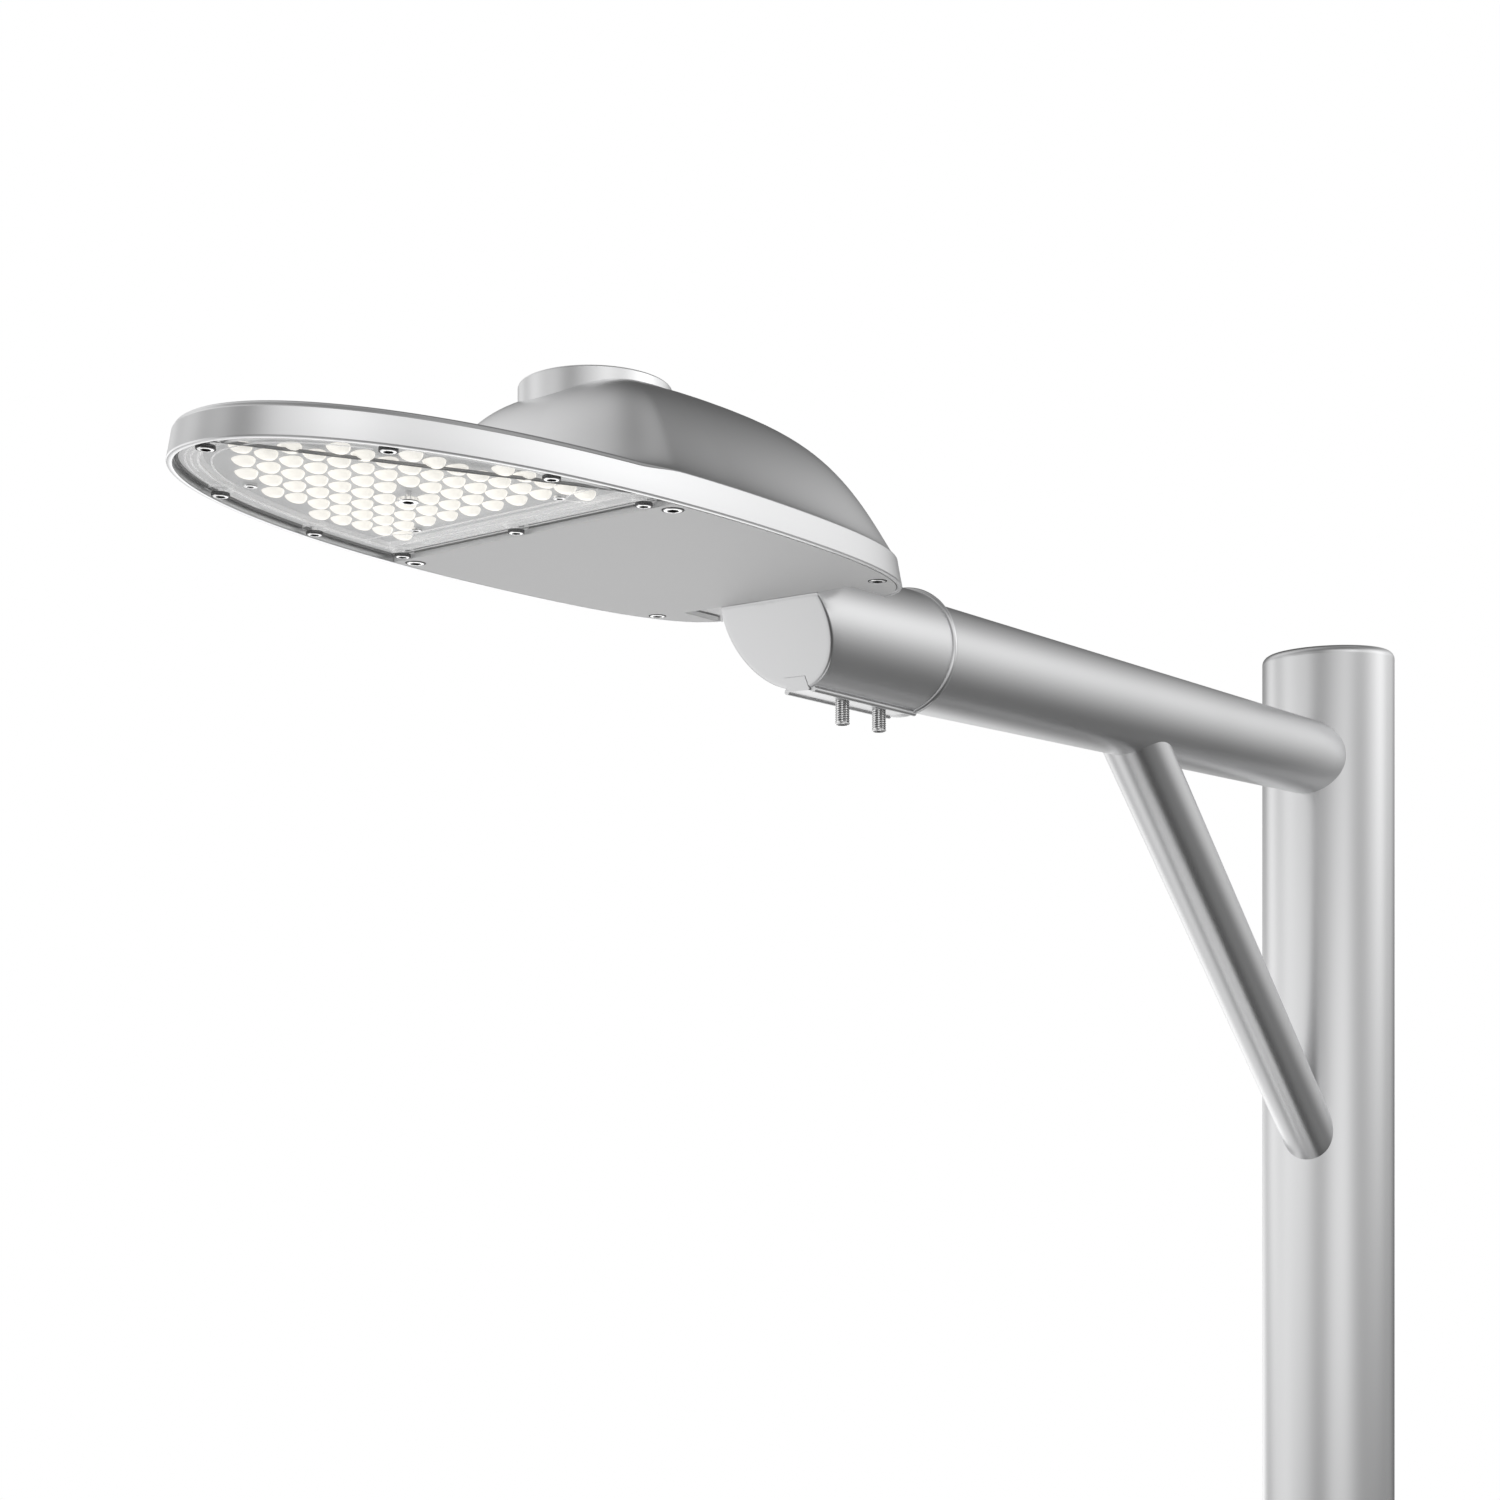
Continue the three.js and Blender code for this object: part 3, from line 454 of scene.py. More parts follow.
# %% [markdown]
# ## Column
# The column is one steel tube with a door opening low down. Its wall is a table of angles and
# heights: the first columns of the table cover the opening's width, and are left out between its
# sill and its head. The opening's half angle changes with height, which rounds its corners.

# %% Column tube with its door opening
pole_wall = 4.0
door_w, door_corner, door_gap, door_thick = 44.0, 15.0, 1.2, 3.0
leaf_low, leaf_high = frame_box("access_door")
door_z0, door_z1 = leaf_low[2] - door_gap, leaf_high[2] + door_gap
door_zm = (door_z0 + door_z1) / 2


def door_angle(z, half_width=door_w, half_height=None, corner=door_corner):
    """Half the opening's angle at a height: asin(w / R), with w drawn in along the round corners."""
    half_height = (door_z1 - door_z0) / 2 if half_height is None else half_height
    over = np.clip(np.abs(z - door_zm) - (half_height - corner), 0, corner)
    w = half_width - corner + np.sqrt(np.maximum(corner**2 - over**2, 0))
    return np.arcsin(w / pole_r)


corner_steps = door_corner * (1 - np.cos(np.radians(np.linspace(0, 90, 7))))
door_rows = np.concatenate([door_z0 + corner_steps, [door_zm], (door_z1 - corner_steps)[::-1]])
tube_top = pole_high[2]
plain_below = np.linspace(pole_low[2], door_z0, 6)[:-1]
plain_above = np.linspace(door_z1, tube_top, 24)[1:]
rows_z = np.concatenate([plain_below, door_rows, plain_above])
hole_columns, wall_columns = 24, 136


def tube_ring(z, radius):
    """One ring: even angles over the opening, whose middle is at -90 degrees, then over the wall."""
    half = door_angle(z)
    over = np.linspace(-half, half, hole_columns + 1)[:-1]
    rest = np.linspace(half, TAU - half, wall_columns + 1)[:-1]
    angle = np.concatenate([over, rest]) - math.pi / 2
    return ring(radius, z, angle)


def pole_tube():
    """Outer and inner walls, with the quads over the opening left out and its edge closed."""
    shell = Shell()
    walls_at = {}
    for side, radius in (("out", pole_r), ("in", pole_r - pole_wall)):
        table = np.stack([tube_ring(z, radius) for z in rows_z])
        walls_at[side] = shell._add(table).reshape(table.shape[:2])
    first, last = len(plain_below), len(plain_below) + len(door_rows) - 1
    for number in walls_at.values():
        wrapped = np.hstack([number, number[:, :1]])
        quads = np.stack([wrapped[:-1, :-1], wrapped[:-1, 1:], wrapped[1:, 1:], wrapped[1:, :-1]], -1)
        keep = np.ones(quads.shape[:2], bool)
        keep[first:last, :hole_columns] = False
        shell.faces.extend(quads[keep].tolist())
    out, inner = walls_at["out"], walls_at["in"]
    edges = [(np.append(out[row], out[row, 0]), np.append(inner[row], inner[row, 0])) for row in (0, -1)]
    edges += [(out[row, :hole_columns + 1], inner[row, :hole_columns + 1]) for row in (first, last)]
    edges += [(out[first:last + 1, n], inner[first:last + 1, n]) for n in (0, hole_columns)]
    for a, b in edges:
        shell.faces.extend(np.stack([a[:-1], a[1:], b[1:], b[:-1]], -1).tolist())
    return shell


make("Column_tube", pole_tube(), silver_steel, "post", ["pole_tube"])

# %% [markdown]
# The column's top is closed by a cap with a soft edge, welded and ground flush, so no seam shows.

# %% Column cap
cap_round = pole_height - tube_top
cap_profile = np.vstack([
    [[0, tube_top - 20], [pole_r - pole_wall - 0.3, tube_top - 20], [pole_r - pole_wall - 0.3, tube_top]],
    [[pole_r, tube_top]],
    arc((pole_r - cap_round, tube_top), cap_round, 0, 90, 12)[1:],
    [[pole_r * 0.5, pole_height], [0, pole_height]],
])
make("Column_cap", Shell().grid(turned(cap_profile, 160)), silver_steel, "post", ["pole_cap"], sharp=35)


# %% [markdown]
# ## Foot
# The base plate sits on four anchor bolts. Real plates have sawn edges with a small bevel, the
# gussets are cut from flat bar, and each nut has its chamfered corners and a washer under it.

# %% Base plate, gussets, bolts and nuts
base_high = frame_box("base_plate")[1]
base_t = base_high[2]
bolts = [[sx * 100.0, sy * 100.0] for sx, sy in ((1, 1), (-1, 1), (-1, -1), (1, -1))]
base_holes = [circle(0, 0, 40, 64)] + [circle(x, y, 12) for x, y in bolts]
base_outline = rounded_box(base_high[0] * 2, base_high[1] * 2, 6)
base = plate(Shell(), base_outline, base_holes, 0, base_t, 1.0)
settle(make("Base_plate", base, silver_steel, "post", ["base_plate"]))


def standing(shell, turn, lift):
    """Turns a plate drawn in the x-y plane upright (y becomes z) and then round the column."""
    points = np.vstack(shell.points)
    upright = np.stack([points[:, 0], points[:, 2], points[:, 1] + lift], -1)
    c, s = math.cos(turn), math.sin(turn)
    shell.points = [upright @ np.array([[c, s, 0], [-s, c, 0], [0, 0, 1]])]
    return shell


gusset_start = pole_r + 0.3
gusset_outline = np.array([[0, 0], [60, 0], [60, 8], [8, 70], [0, 70.0]]) + [gusset_start, 0]
for i in range(4):
    flat_gusset = plate(Shell(), gusset_outline, [], -4, 4, 0.8)
    gusset = standing(flat_gusset, i * math.pi / 2, base_t)
    settle(make(f"Base_gusset_{i + 1}", gusset, silver_steel, "post", [f"base_gusset_{i + 1}"]))


def threaded(radius, pitch, z0, z1, depth, sides=32):
    """A thread: radius = r - depth (1 - |2 frac(z / pitch - a / 2 pi) - 1|), faded at both ends."""
    z = np.arange(z0, z1 + 1e-6, pitch / 4)
    angle = np.arange(sides) * TAU / sides
    phase = (z[:, None] / pitch - angle / TAU) % 1
    fade = np.clip(np.minimum(z - z0, z1 - z) / pitch, 0, 1)[:, None]
    r = radius - depth * (1 - np.abs(2 * phase - 1)) * fade
    r = np.where((z <= z0) | (z >= z1), radius - depth, r.T).T
    return ring(r, z[:, None], angle)


def nut_and_washer(z):
    """A washer, and a hexagon nut whose corners are cut by a 30 degree cone."""
    shell = plate(Shell(), circle(0, 0, 18.5), [circle(0, 0, 10.4, 32)], z, z + 3, 0.4)
    sides = 96
    angle = np.arange(sides) * TAU / sides
    bore, face, side = 10.4, 14.2, hexagon(15, angle)
    cone = np.maximum(side - 15.2, 0) * 0.55
    rows = [(bore, z + 3.0), (face, z + 3.0), (side, z + 3.2 + cone), (side, z + 18.8 - cone),
            (face, z + 19.0), (bore, z + 19.0), (bore, z + 3.0)]
    return shell.grid(np.stack([ring(radius, height, angle) for radius, height in rows]))


for i, (x, y) in enumerate(bolts):
    bolt = Shell().solid_grid(threaded(10, 2.5, 0.0, base_t + 44, 0.9))
    make(f"Anchor_bolt_{i + 1}", bolt, zinc, "post", [f"anchor_bolt_{i + 1}"], at=(x, y, 0))
    make(f"Anchor_nut_{i + 1}", nut_and_washer(base_t), zinc, "post", [f"anchor_nut_{i + 1}"], at=(x, y, 0))

# %% [markdown]
# ## Service door
# The leaf is a piece of the same tube, cut out with a thin saw, so its curve and its corners
# match the opening. A barrel on its edge turns on a pin between two lugs, and a quarter-turn lock
# with a three-cornered key holds it.

# %% Door leaf, hinge and lock
hinge_low, hinge_high = frame_box("door_hinge_pin")
hinge = (hinge_low + hinge_high) / 2
lock_low, lock_high = frame_box("door_lock")


def leaf():
    """A curved plate: angle = s * half angle(z), height = z, in five skins that round its rim."""
    half_w, half_h = door_w - door_gap, (door_z1 - door_z0) / 2 - door_gap
    corner = door_corner - door_gap
    steps = corner * (1 - np.cos(np.radians(np.linspace(0, 90, 7))))
    low, high = door_zm - half_h, door_zm + half_h
    middle = np.linspace(low + corner, high - corner, 12)[1:-1]
    z = np.concatenate([low + steps, middle, (high - steps)[::-1]])
    s = np.linspace(-1, 1, 25)

    def skin(radius, inset):
        half = np.arcsin(np.sin(door_angle(z, half_w, half_h, corner)) * (half_w - inset) / half_w)
        angle = s * half[:, None] - math.pi / 2
        height = door_zm + (z - door_zm) * (half_h - inset) / half_h
        return ring(radius, height[:, None], angle)

    outer, inner = pole_r, pole_r - door_thick
    shell = Shell()
    shell.grid(skin(outer, 0.5), around=False)
    shell.grid(skin(inner, 0.0), around=False)
    skins = [(outer, 0.5), (outer - 0.15, 0.15), (outer - 0.5, 0.0), (inner, 0.0)]
    for near, far in zip(skins, skins[1:]):
        a, b = skin(*near), skin(*far)
        for side in (np.s_[:, 0], np.s_[:, -1], np.s_[0, :], np.s_[-1, :]):
            shell.grid(np.stack([a[side], b[side]]), around=False)
    return shell


def barrel(shell, z0, z1, radius=5.0, bore=2.9):
    """A hinge knuckle round the pin: a tube with softened ends."""
    section = [[bore, z0], [radius - 0.4, z0], [radius, z0 + 0.4], [radius, z1 - 0.4],
               [radius - 0.4, z1], [bore, z1], [bore, z0]]
    table = turned(section, 40)
    table[..., :2] += hinge[:2]
    return shell.grid(table)


def web(shell, angle, z0, z1, thickness):
    """A strap from the knuckle to a point on the column at an angle from the door's middle."""
    foot = -np.array([math.sin(angle), math.cos(angle)]) * (pole_r - 0.6)
    reach = foot - hinge[:2]
    along = reach / np.linalg.norm(reach)
    across = np.array([-along[1], along[0]]) * thickness / 2
    start = hinge[:2] + along * 3.2
    outline = np.array([start + across, start - across, foot - across, foot + across])
    return plate(shell, outline, [], z0, z1, 0.4)


hinge_turn = math.asin(door_w / pole_r) + 0.03
knuckle, lug_place, lug_half = 79.5, 100, 20
leaf_shell = leaf()
barrel(leaf_shell, door_zm - knuckle, door_zm + knuckle)
web(leaf_shell, hinge_turn - 0.12, door_zm - knuckle, door_zm + knuckle, 4)
make("Service_door", leaf_shell, silver_steel, "door", ["access_door"], sharp=40)
for i, side in enumerate((-1, 1)):
    low, high = [door_zm + side * lug_place + end for end in (-lug_half, lug_half)]
    lug = web(barrel(Shell(), low, high), hinge_turn + 0.12, low, high, 6)
    make(f"Hinge_lug_{i + 1}", lug, silver_steel, "post", [f"door_hinge_lug_{i + 1}"], sharp=40)
pin_low, pin_high = hinge_low[2], hinge_high[2]
pin_profile = [[0, pin_low], [2.1, pin_low], [2.5, pin_low + 0.5],
               [2.5, pin_high - 0.5], [2.1, pin_high], [0, pin_high]]
pin = Shell().grid(turned(pin_profile, 32))
make("Hinge_pin", pin, stainless, "post", ["door_hinge_pin"], at=(hinge[0], hinge[1], 0))

lock_x = 26.0
lock_face, lock_inner = lock_low[1], lock_high[1]
lock_rows = [(7.6, 0.0), (7.9, 0.15), (8.0, 0.5), (8.0, lock_inner - lock_face)]


def lock():
    """A round barrel with a three-cornered key well: rings blend from the triangle to the circle."""
    angle = np.arange(48) * TAU / 48
    triangle = 2.5 / np.cos((angle - math.pi / 2 + math.pi / 3) % (TAU / 3) - math.pi / 3)
    rings = [(0 * angle, 6.0), (triangle, 6.0), (triangle, 0.3), (triangle + 0.4, 0.0)]
    rings += [(r + 0 * angle, y) for r, y in lock_rows] + [(0 * angle, lock_inner - lock_face)]
    table = np.stack([np.stack([r * np.cos(angle), y + 0 * angle, r * np.sin(angle)], -1) for r, y in rings])
    shell = Shell().grid(table)
    cam_outline = np.vstack([arc((0, 16), 5, 0, 180, 12), [[-5, -6], [5, -6.0]]])
    cam = plate(Shell(), cam_outline, [], 0, 3, 0.3)
    points = np.vstack(cam.points)
    depth = points[:, 2] + lock_inner - lock_face - 3
    turned_cam = np.stack([points[:, 0], depth, points[:, 1] + 0.9], -1)
    start = shell.count
    shell._add(turned_cam)
    shell.faces.extend([start + v for v in face] for face in cam.faces)
    return shell


make("Door_lock", lock(), stainless, "lock", ["door_lock"], at=(lock_x, lock_face, door_zm), sharp=35)

# %% [markdown]
# Behind the door are the fuse unit and the supply terminals on their board. They are boxes in
# plastic, seen only with the door open, so the model's own solids stay, with moulded finishes.

# %% Finishes of the fittings that stay as they are
for node, finish in {
    "fuse_backboard": grey_plastic, "fuse_unit": black_plastic, "supply_terminals": grey_plastic,
    "earth_stud": stainless, "arm_spigot": zinc, "led_driver": off_white,
    "surge_protector": black_plastic, "terminal_block": grey_plastic, "cable_gland": black_plastic,
    "photocontrol_socket": black_plastic, "gear_gasket": seal_rubber,
}.items():
    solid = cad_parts[node]
    solid.data.materials.clear()
    solid.data.materials.append(finish)

# %% [markdown]
# ## Arm and brace
# The arm meets the column in a saddle cut: each line along the tube ends where it reaches the
# column's surface. The brace is cut the same way at both ends, to the column and to the arm.


# %% Tubes cut to fit tubes
arm_wall, weld_sink = 3.2, 1.0


def saddle_x(y, radius):
    """Where a line along X at sideways distance y meets an upright cylinder: x = -sqrt(R^2 - y^2)."""
    return -np.sqrt(np.maximum(radius**2 - y**2, 0))


def arm():
    """Rings of the arm: x runs from the clamp's mouth to the saddle, with a flat ring closing the free end.
    """
    angle = np.arange(144) * TAU / 144
    y, z = np.cos(angle), np.sin(angle)
    free = arm_low[0]
    rows = []
    for radius, shares in ((arm_r, np.linspace(0, 1, 28)), (arm_r - arm_wall, np.linspace(1, 0, 8))):
        end = saddle_x(radius * y, pole_r - weld_sink)
        rows += [np.stack([free + (end - free) * s, radius * y, arm_z + radius * z], -1) for s in shares]
    return Shell().grid(np.stack(rows + rows[:1]))


make("Arm_tube", arm(), silver_steel, "post", ["arm_tube"], sharp=40)

brace_r, brace_wall, brace_drop, brace_reach = 27.0, 2.9, 437.0, 497.0
brace_foot = np.array([0, 0, arm_z - brace_drop])
brace_top = np.array([-brace_reach, 0, arm_z])
brace_along = (brace_top - brace_foot) / np.linalg.norm(brace_top - brace_foot)
brace_up = np.array([-brace_along[2], 0, brace_along[0]])


def brace_line(angle, radius):
    """Start points of lines along the brace, round its axis: foot + r (cos a Y + sin a U)."""
    around = np.cos(angle)[:, None] * np.array([0, 1, 0]) + np.sin(angle)[:, None] * brace_up
    return brace_foot + radius * around


def brace_ends(angle, radius):
    """Distances along the brace at which each line leaves the column and reaches the arm."""
    p = brace_line(angle, radius)
    dx, dz = brace_along[0], brace_along[2]
    start = (saddle_x(p[:, 1], pole_r - weld_sink) - p[:, 0]) / dx
    stop = (arm_z + saddle_x(p[:, 1], arm_r - weld_sink) - p[:, 2]) / dz
    return p, start, stop


def brace():
    """Outer and inner skins of the brace between its two saddles."""
    angle = np.arange(112) * TAU / 112
    rows = []
    skins = ((brace_r, np.linspace(0, 1, 24)), (brace_r - brace_wall, np.linspace(1, 0, 6)))
    for radius, shares in skins:
        p, start, stop = brace_ends(angle, radius)
        rows += [p + (start + (stop - start) * s)[:, None] * brace_along for s in shares]
    return Shell().grid(np.stack(rows + rows[:1]))


make("Brace_tube", brace(), silver_steel, "post", ["brace_tube"], sharp=40)


# %% [markdown]
# ## Head casting
# Seen from below the head is a rounded leaf. Its outline is a superellipse in front of the widest
# station and a smooth curve to the two rear lobes. Growing it gives every ring of the rim.

# %% Outline of the head
tip, widest, half_width, rear_end = 562.0, 285.0, 105.5, 120.0
lobe_half, power = 60.0, 2.1
nose_points, tail_points, back_points = 110, 70, 13
half_points = nose_points + tail_points


def head_outline(grow=0.0):
    """Front: x = -w - (t - w + g) cos^(2/p), y = (h + g) sin^(2/p). Rear: a cubic to the lobe."""
    a = np.linspace(0, math.pi / 2, nose_points, endpoint=False)
    nose_x = -widest - (tip - widest + grow) * np.cos(a) ** (2 / power)
    nose_y = (half_width + grow) * np.sin(a) ** (2 / power)
    lobe_x = -rear_end + grow
    knots = np.array([[-widest, half_width + grow],
                      [-widest + 0.745 * (widest - rear_end), half_width + grow],
                      [lobe_x - 4, lobe_half + 27 + grow], [lobe_x, lobe_half]])
    t = np.linspace(0, 1, tail_points)[:, None]
    shares = [(1 - t) ** 3, 3 * (1 - t) ** 2 * t, 3 * (1 - t) * t**2, t**3]
    tail = sum(share * knot for share, knot in zip(shares, knots))
    across = np.linspace(lobe_half, -lobe_half, back_points)
    back = np.stack([np.full(back_points, lobe_x), across], -1)
    half = np.vstack([np.stack([nose_x, nose_y], -1), tail])
    other = half[1:][::-1] * [1, -1]
    return np.vstack([half, back[1:-1], other])


print("outline points:", len(head_outline()))

# %% [markdown]
# The casting's skin is drawn as rings on that outline. From the inside out: the recess, the ledge
# behind the covers, the thin lower lip, the side that leans in, the rounded edge, a flat deck at
# the nose, and the dome. The dome's section is `1 - r^m` raised to a power; both powers change
# with direction, which makes it full over the gear, drawn out at the nose and steep at the back.

# %% Skin of the casting
rim_height, rim_lip, rim_draft = 17.0, 3.0, 3.0
dome_centre = np.array([-309.0, 0.0])
dome_front, dome_height, dome_join = 402.0, 68.0, 365.0
front_powers, side_powers, rear_powers = np.array([[3.2, 2.0], [4.5, 2.0], [5.0, 1.1]])


def ease(x, low, high):
    """A smooth step from 0 to 1: 3 t^2 - 2 t^3."""
    t = np.clip((x - low) / (high - low), 0, 1)
    return t * t * (3 - 2 * t)


def foot_radius(angle):
    """Reach of the dome's foot in each direction: the rim's edge, or in front a blunt nose.

    In front the reach is blurred by a bell curve, exp(-n^2 / 2 s^2), so that the nose has no corner.
    """
    edge = head_outline(-0.8)
    edge = edge[edge[:, 0] > -dome_join]
    corner = edge[edge[:, 1] > 0][0]
    t = np.linspace(math.pi / 2, -math.pi / 2, 60)
    nose_x = corner[0] + (-dome_front - corner[0]) * np.cos(t)
    nose_y = corner[1] * np.sign(t) * np.abs(np.sin(t)) ** 0.8
    foot = np.vstack([edge, np.stack([nose_x, nose_y], -1)]) - dome_centre
    around, reach = np.arctan2(foot[:, 1], foot[:, 0]), np.hypot(foot[:, 0], foot[:, 1])
    turn = np.linspace(-math.pi, math.pi, 720, endpoint=False)
    order = np.argsort(around)
    exact = np.interp(turn, around[order], reach[order], period=TAU)
    bell = np.exp(-0.5 * (np.arange(-60, 61) / 18) ** 2)
    soft = np.convolve(np.tile(exact, 3), bell / bell.sum(), "same")[720:1440]
    mixed = exact + (soft - exact) * ease(-np.cos(turn), 0.0, 0.3)
    return np.interp(angle, turn, mixed, period=TAU)


def dome_powers(offset):
    """Section powers for a foot point: a blend of front, side and rear by its place along the head."""
    along = offset[:, :1]
    front = np.clip(-along / (dome_front + dome_centre[0]), 0, 1) ** 2 * (along < 0)
    rear = np.clip(along / (-rear_end - dome_centre[0]), 0, 1) ** 0.7 * (along > 0)
    return front * front_powers + rear * rear_powers + (1 - front - rear) * side_powers


def casting_rings():
    """The skin's rings, from the recess to the crown."""
    base_line = head_outline(0)
    each_mm = head_outline(1) - base_line
    x = base_line[:, 0]
    soft = 0.9 + 2.3 * ease(-x, dome_join - 8, dome_join + 22)
    rows = []

    def rim_ring(grow, height):
        flat = head_outline(grow) if np.isscalar(grow) else base_line + each_mm * grow[:, None]
        rows.append(np.column_stack([flat, plane + height + 0 * x]))

    recess = ((-26, 10), (-12.4, 10), (-12, 9.6), (-12, 4.6), (-11.6, 4.2), (0, 4.2))
    lip = ((0, 0.5), (0.25, 0.12), (0.6, 0), (2.1, 0), (2.7, 0.25), (3.0, 0.9))
    for grow, height in recess + lip:
        rim_ring(grow, height)
    top_grow = rim_lip - rim_draft
    for share in np.linspace(0, 1, 4)[1:]:
        z = 0.9 + (rim_height - soft - 0.9) * share
        rim_ring(rim_lip - rim_draft * z / rim_height, z)
    for a in np.radians(np.linspace(0, 90, 8))[1:]:
        rim_ring(top_grow - soft * (1 - np.cos(a)), rim_height - soft * (1 - np.sin(a)))
    edge = rows[-1][:, :2] - dome_centre
    angle, reach = np.arctan2(edge[:, 1], edge[:, 0]), np.hypot(edge[:, 0], edge[:, 1])
    foot = np.minimum(foot_radius(angle), reach)
    for share in np.linspace(0, 1, 8)[1:]:
        r = reach + (foot - reach) * share
        deck = dome_centre + np.stack([r * np.cos(angle), r * np.sin(angle)], -1)
        rows.append(at_height(deck, plane + rim_height))
    offset = np.stack([foot * np.cos(angle), foot * np.sin(angle)], -1)
    powers = dome_powers(offset)
    for share in np.append(np.sin(np.radians(np.linspace(88.5, 3, 46))), 0):
        height = dome_height * (1 - share ** powers[:, 0]) ** powers[:, 1]
        rows.append(np.column_stack([dome_centre + offset * share, plane + rim_height + height]))
    return np.stack(rows)


casting = Shell().grid(casting_rings(), ends=(0,))
bar_outline = np.array([[-377, -88], [-358, -91], [-358, 91], [-377, 88.0]])
plate(casting, bar_outline, [], plane + 4.2, plane + 10.5, 0.3)
head_casting = make("Head_casting", casting, silver_cast, "head", ["head_casting"], HEAD, sharp=28)

# %% [markdown]
# The clamp passes under the rear of the head, in a notch between the two lobes. The notch is a
# plain box taken out of the closed skin, which is the one place where a Boolean modifier is
# quicker and truer than rings; it is applied at once, so the mesh that is kept is simple.


# %% Take the notch out
def take_out(piece, shell, at):
    """Cuts a closed shape out of a piece and keeps the result as its mesh."""
    cutter = make(piece.name + "_cutter", shell, piece.data.materials[0], "head", (), at)
    modifier = piece.modifiers.new("Cut", "BOOLEAN")
    modifier.operation, modifier.solver, modifier.object = "DIFFERENCE", "EXACT", cutter
    evaluated = piece.evaluated_get(bpy.context.evaluated_depsgraph_get())
    mesh = bpy.data.meshes.new_from_object(evaluated)
    piece.modifiers.clear()
    piece.data = mesh
    bpy.data.objects.remove(cutter)
    smooth(mesh, 28)


notch_front, notch_half, notch_depth = 155.5, 63.4, 12.0
notch_outline = np.array([[-notch_front, -notch_half], [40, -notch_half],
                          [40, notch_half], [-notch_front, notch_half]])
notch = plate(Shell(), notch_outline, [], plane - 20, plane + notch_depth, 0.2)
take_out(head_casting, notch, HEAD)
print("casting faces after the cut:", len(head_casting.data.polygons))

# %% [markdown]
# ## Clamp
# The clamp grips the reduced end of the arm. It is a cone turned round the arm's axis, cut off in
# front by a slanted plane, with a bead round its mouth. Each line along the cone stops where it
# meets the plane: solving `r(x)` and `x = -c + s (p - z)` together gives that station.

# %% Clamp body
mouth_r, front_r, clamp_front, slant = arm_r + 4.15, arm_r + 1.25, 153.0, 0.63
fillet = 1.8


def clamp_cone():
    """Mouth, bead, cone and slanted face, ring by ring."""
    angle = np.arange(180) * TAU / 180
    y, z = np.cos(angle), np.sin(angle)
    taper = (mouth_r - front_r) / clamp_front
    end = (-clamp_front + slant * (plane - mouth_r * z)) / (1 + slant * taper * z)
    end = np.where(z > plane / mouth_r, -clamp_front, end)

    def station(x, radius):
        return np.stack([x + 0 * angle, radius * y, radius * z], -1)

    bore, body_start = arm_r + 0.15, -6.2
    rows = [station(-6.0, bore), station(-0.5, bore), station(0.0, bore + 0.5)]
    rows += [station(x, r) for x, r in arc((-2.4, mouth_r - 0.4), 2.4, 0, 180, 13)]
    groove = ((-4.9, -0.5), (-5.5, -0.5), (-5.7, 0.0), (body_start, 0.0))
    rows += [station(x, mouth_r + taper * x + up) for x, up in groove]
    body_end = end + fillet
    for share in np.linspace(0, 1, 14)[1:]:
        x = body_start + (body_end - body_start) * share
        rows.append(station(x, mouth_r + taper * x))
    edge = station(end, mouth_r + taper * end)
    centre = np.array([-clamp_front + slant * plane, 0.0, 0.0])
    inwards = centre - edge
    inwards /= np.linalg.norm(inwards, axis=1, keepdims=True)
    start, stop = rows[-1], edge + inwards * fillet
    for t in np.linspace(0, 1, 7)[1:]:
        rows.append((1 - t) ** 2 * start + 2 * t * (1 - t) * edge + t**2 * stop)
    for share in np.linspace(0, 1, 22)[1:]:
        inside = stop + (centre - stop) * share
        inside[:, 0] = -clamp_front + slant * np.maximum(plane - inside[:, 2], 0)
        rows.append(inside)
    return Shell().grid(np.stack(rows))


clamp = clamp_cone()

# %% [markdown]
# A narrow pad runs under the clamp for its two set screws, with a rounded rail along each edge.
# A rail is a round wire, half sunk in the surface, that runs from the slanted face to the bead.


# %% Pad and rails
def wire(shell, path, radius, sides=16):
    """A round tube along a path, its section turned to the path's direction, with closed ends."""
    path = np.asarray(path, float)
    ahead = np.gradient(path, axis=0)
    ahead /= np.linalg.norm(ahead, axis=1, keepdims=True)
    side = np.cross(ahead, [0.0, 0.0, 1.0])
    side /= np.linalg.norm(side, axis=1, keepdims=True) + 1e-12
    up = np.cross(side, ahead)
    angle = np.arange(sides) * TAU / sides
    radius = np.broadcast_to(radius, len(path))
    section = np.cos(angle)[:, None] * side[:, None] + np.sin(angle)[:, None] * up[:, None]
    return shell.solid_grid(path[:, None] + radius[:, None, None] * section)


def pad_level(x):
    """Underside of the pad below the arm's axis: the cone's radius plus its own height."""
    return -(mouth_r + (mouth_r - front_r) / clamp_front * x) - 0.7


def pad_row(x):
    """The pad's section at one station."""
    return np.column_stack([np.full(len(section), x), section[:, 0], pad_level(x) + section[:, 1]])


pad_x = np.linspace(-clamp_front + slant * (plane + front_r + 0.7), -1.0, 20)
section = np.array([[-8, 8], [-8, 0.6], [-7.4, 0], [7.4, 0], [8, 0.6], [8, 8.0]])
pad_rows = np.stack([pad_row(x) for x in pad_x])
pad_rows[0, :, 0] -= slant * section[:, 1]
clamp.solid_grid(pad_rows)
rail_x = np.linspace(pad_x[0] + 1.2, -2.2, 24)
for rail_y in (-10.2, 10.2):
    rail = np.column_stack([rail_x, np.full(24, rail_y), pad_level(rail_x) + 0.5])
    wire(clamp, rail, 1.9)
make("Spigot_clamp", clamp, silver_clamp, "head", ["spigot_clamp"], HEAD, sharp=35)

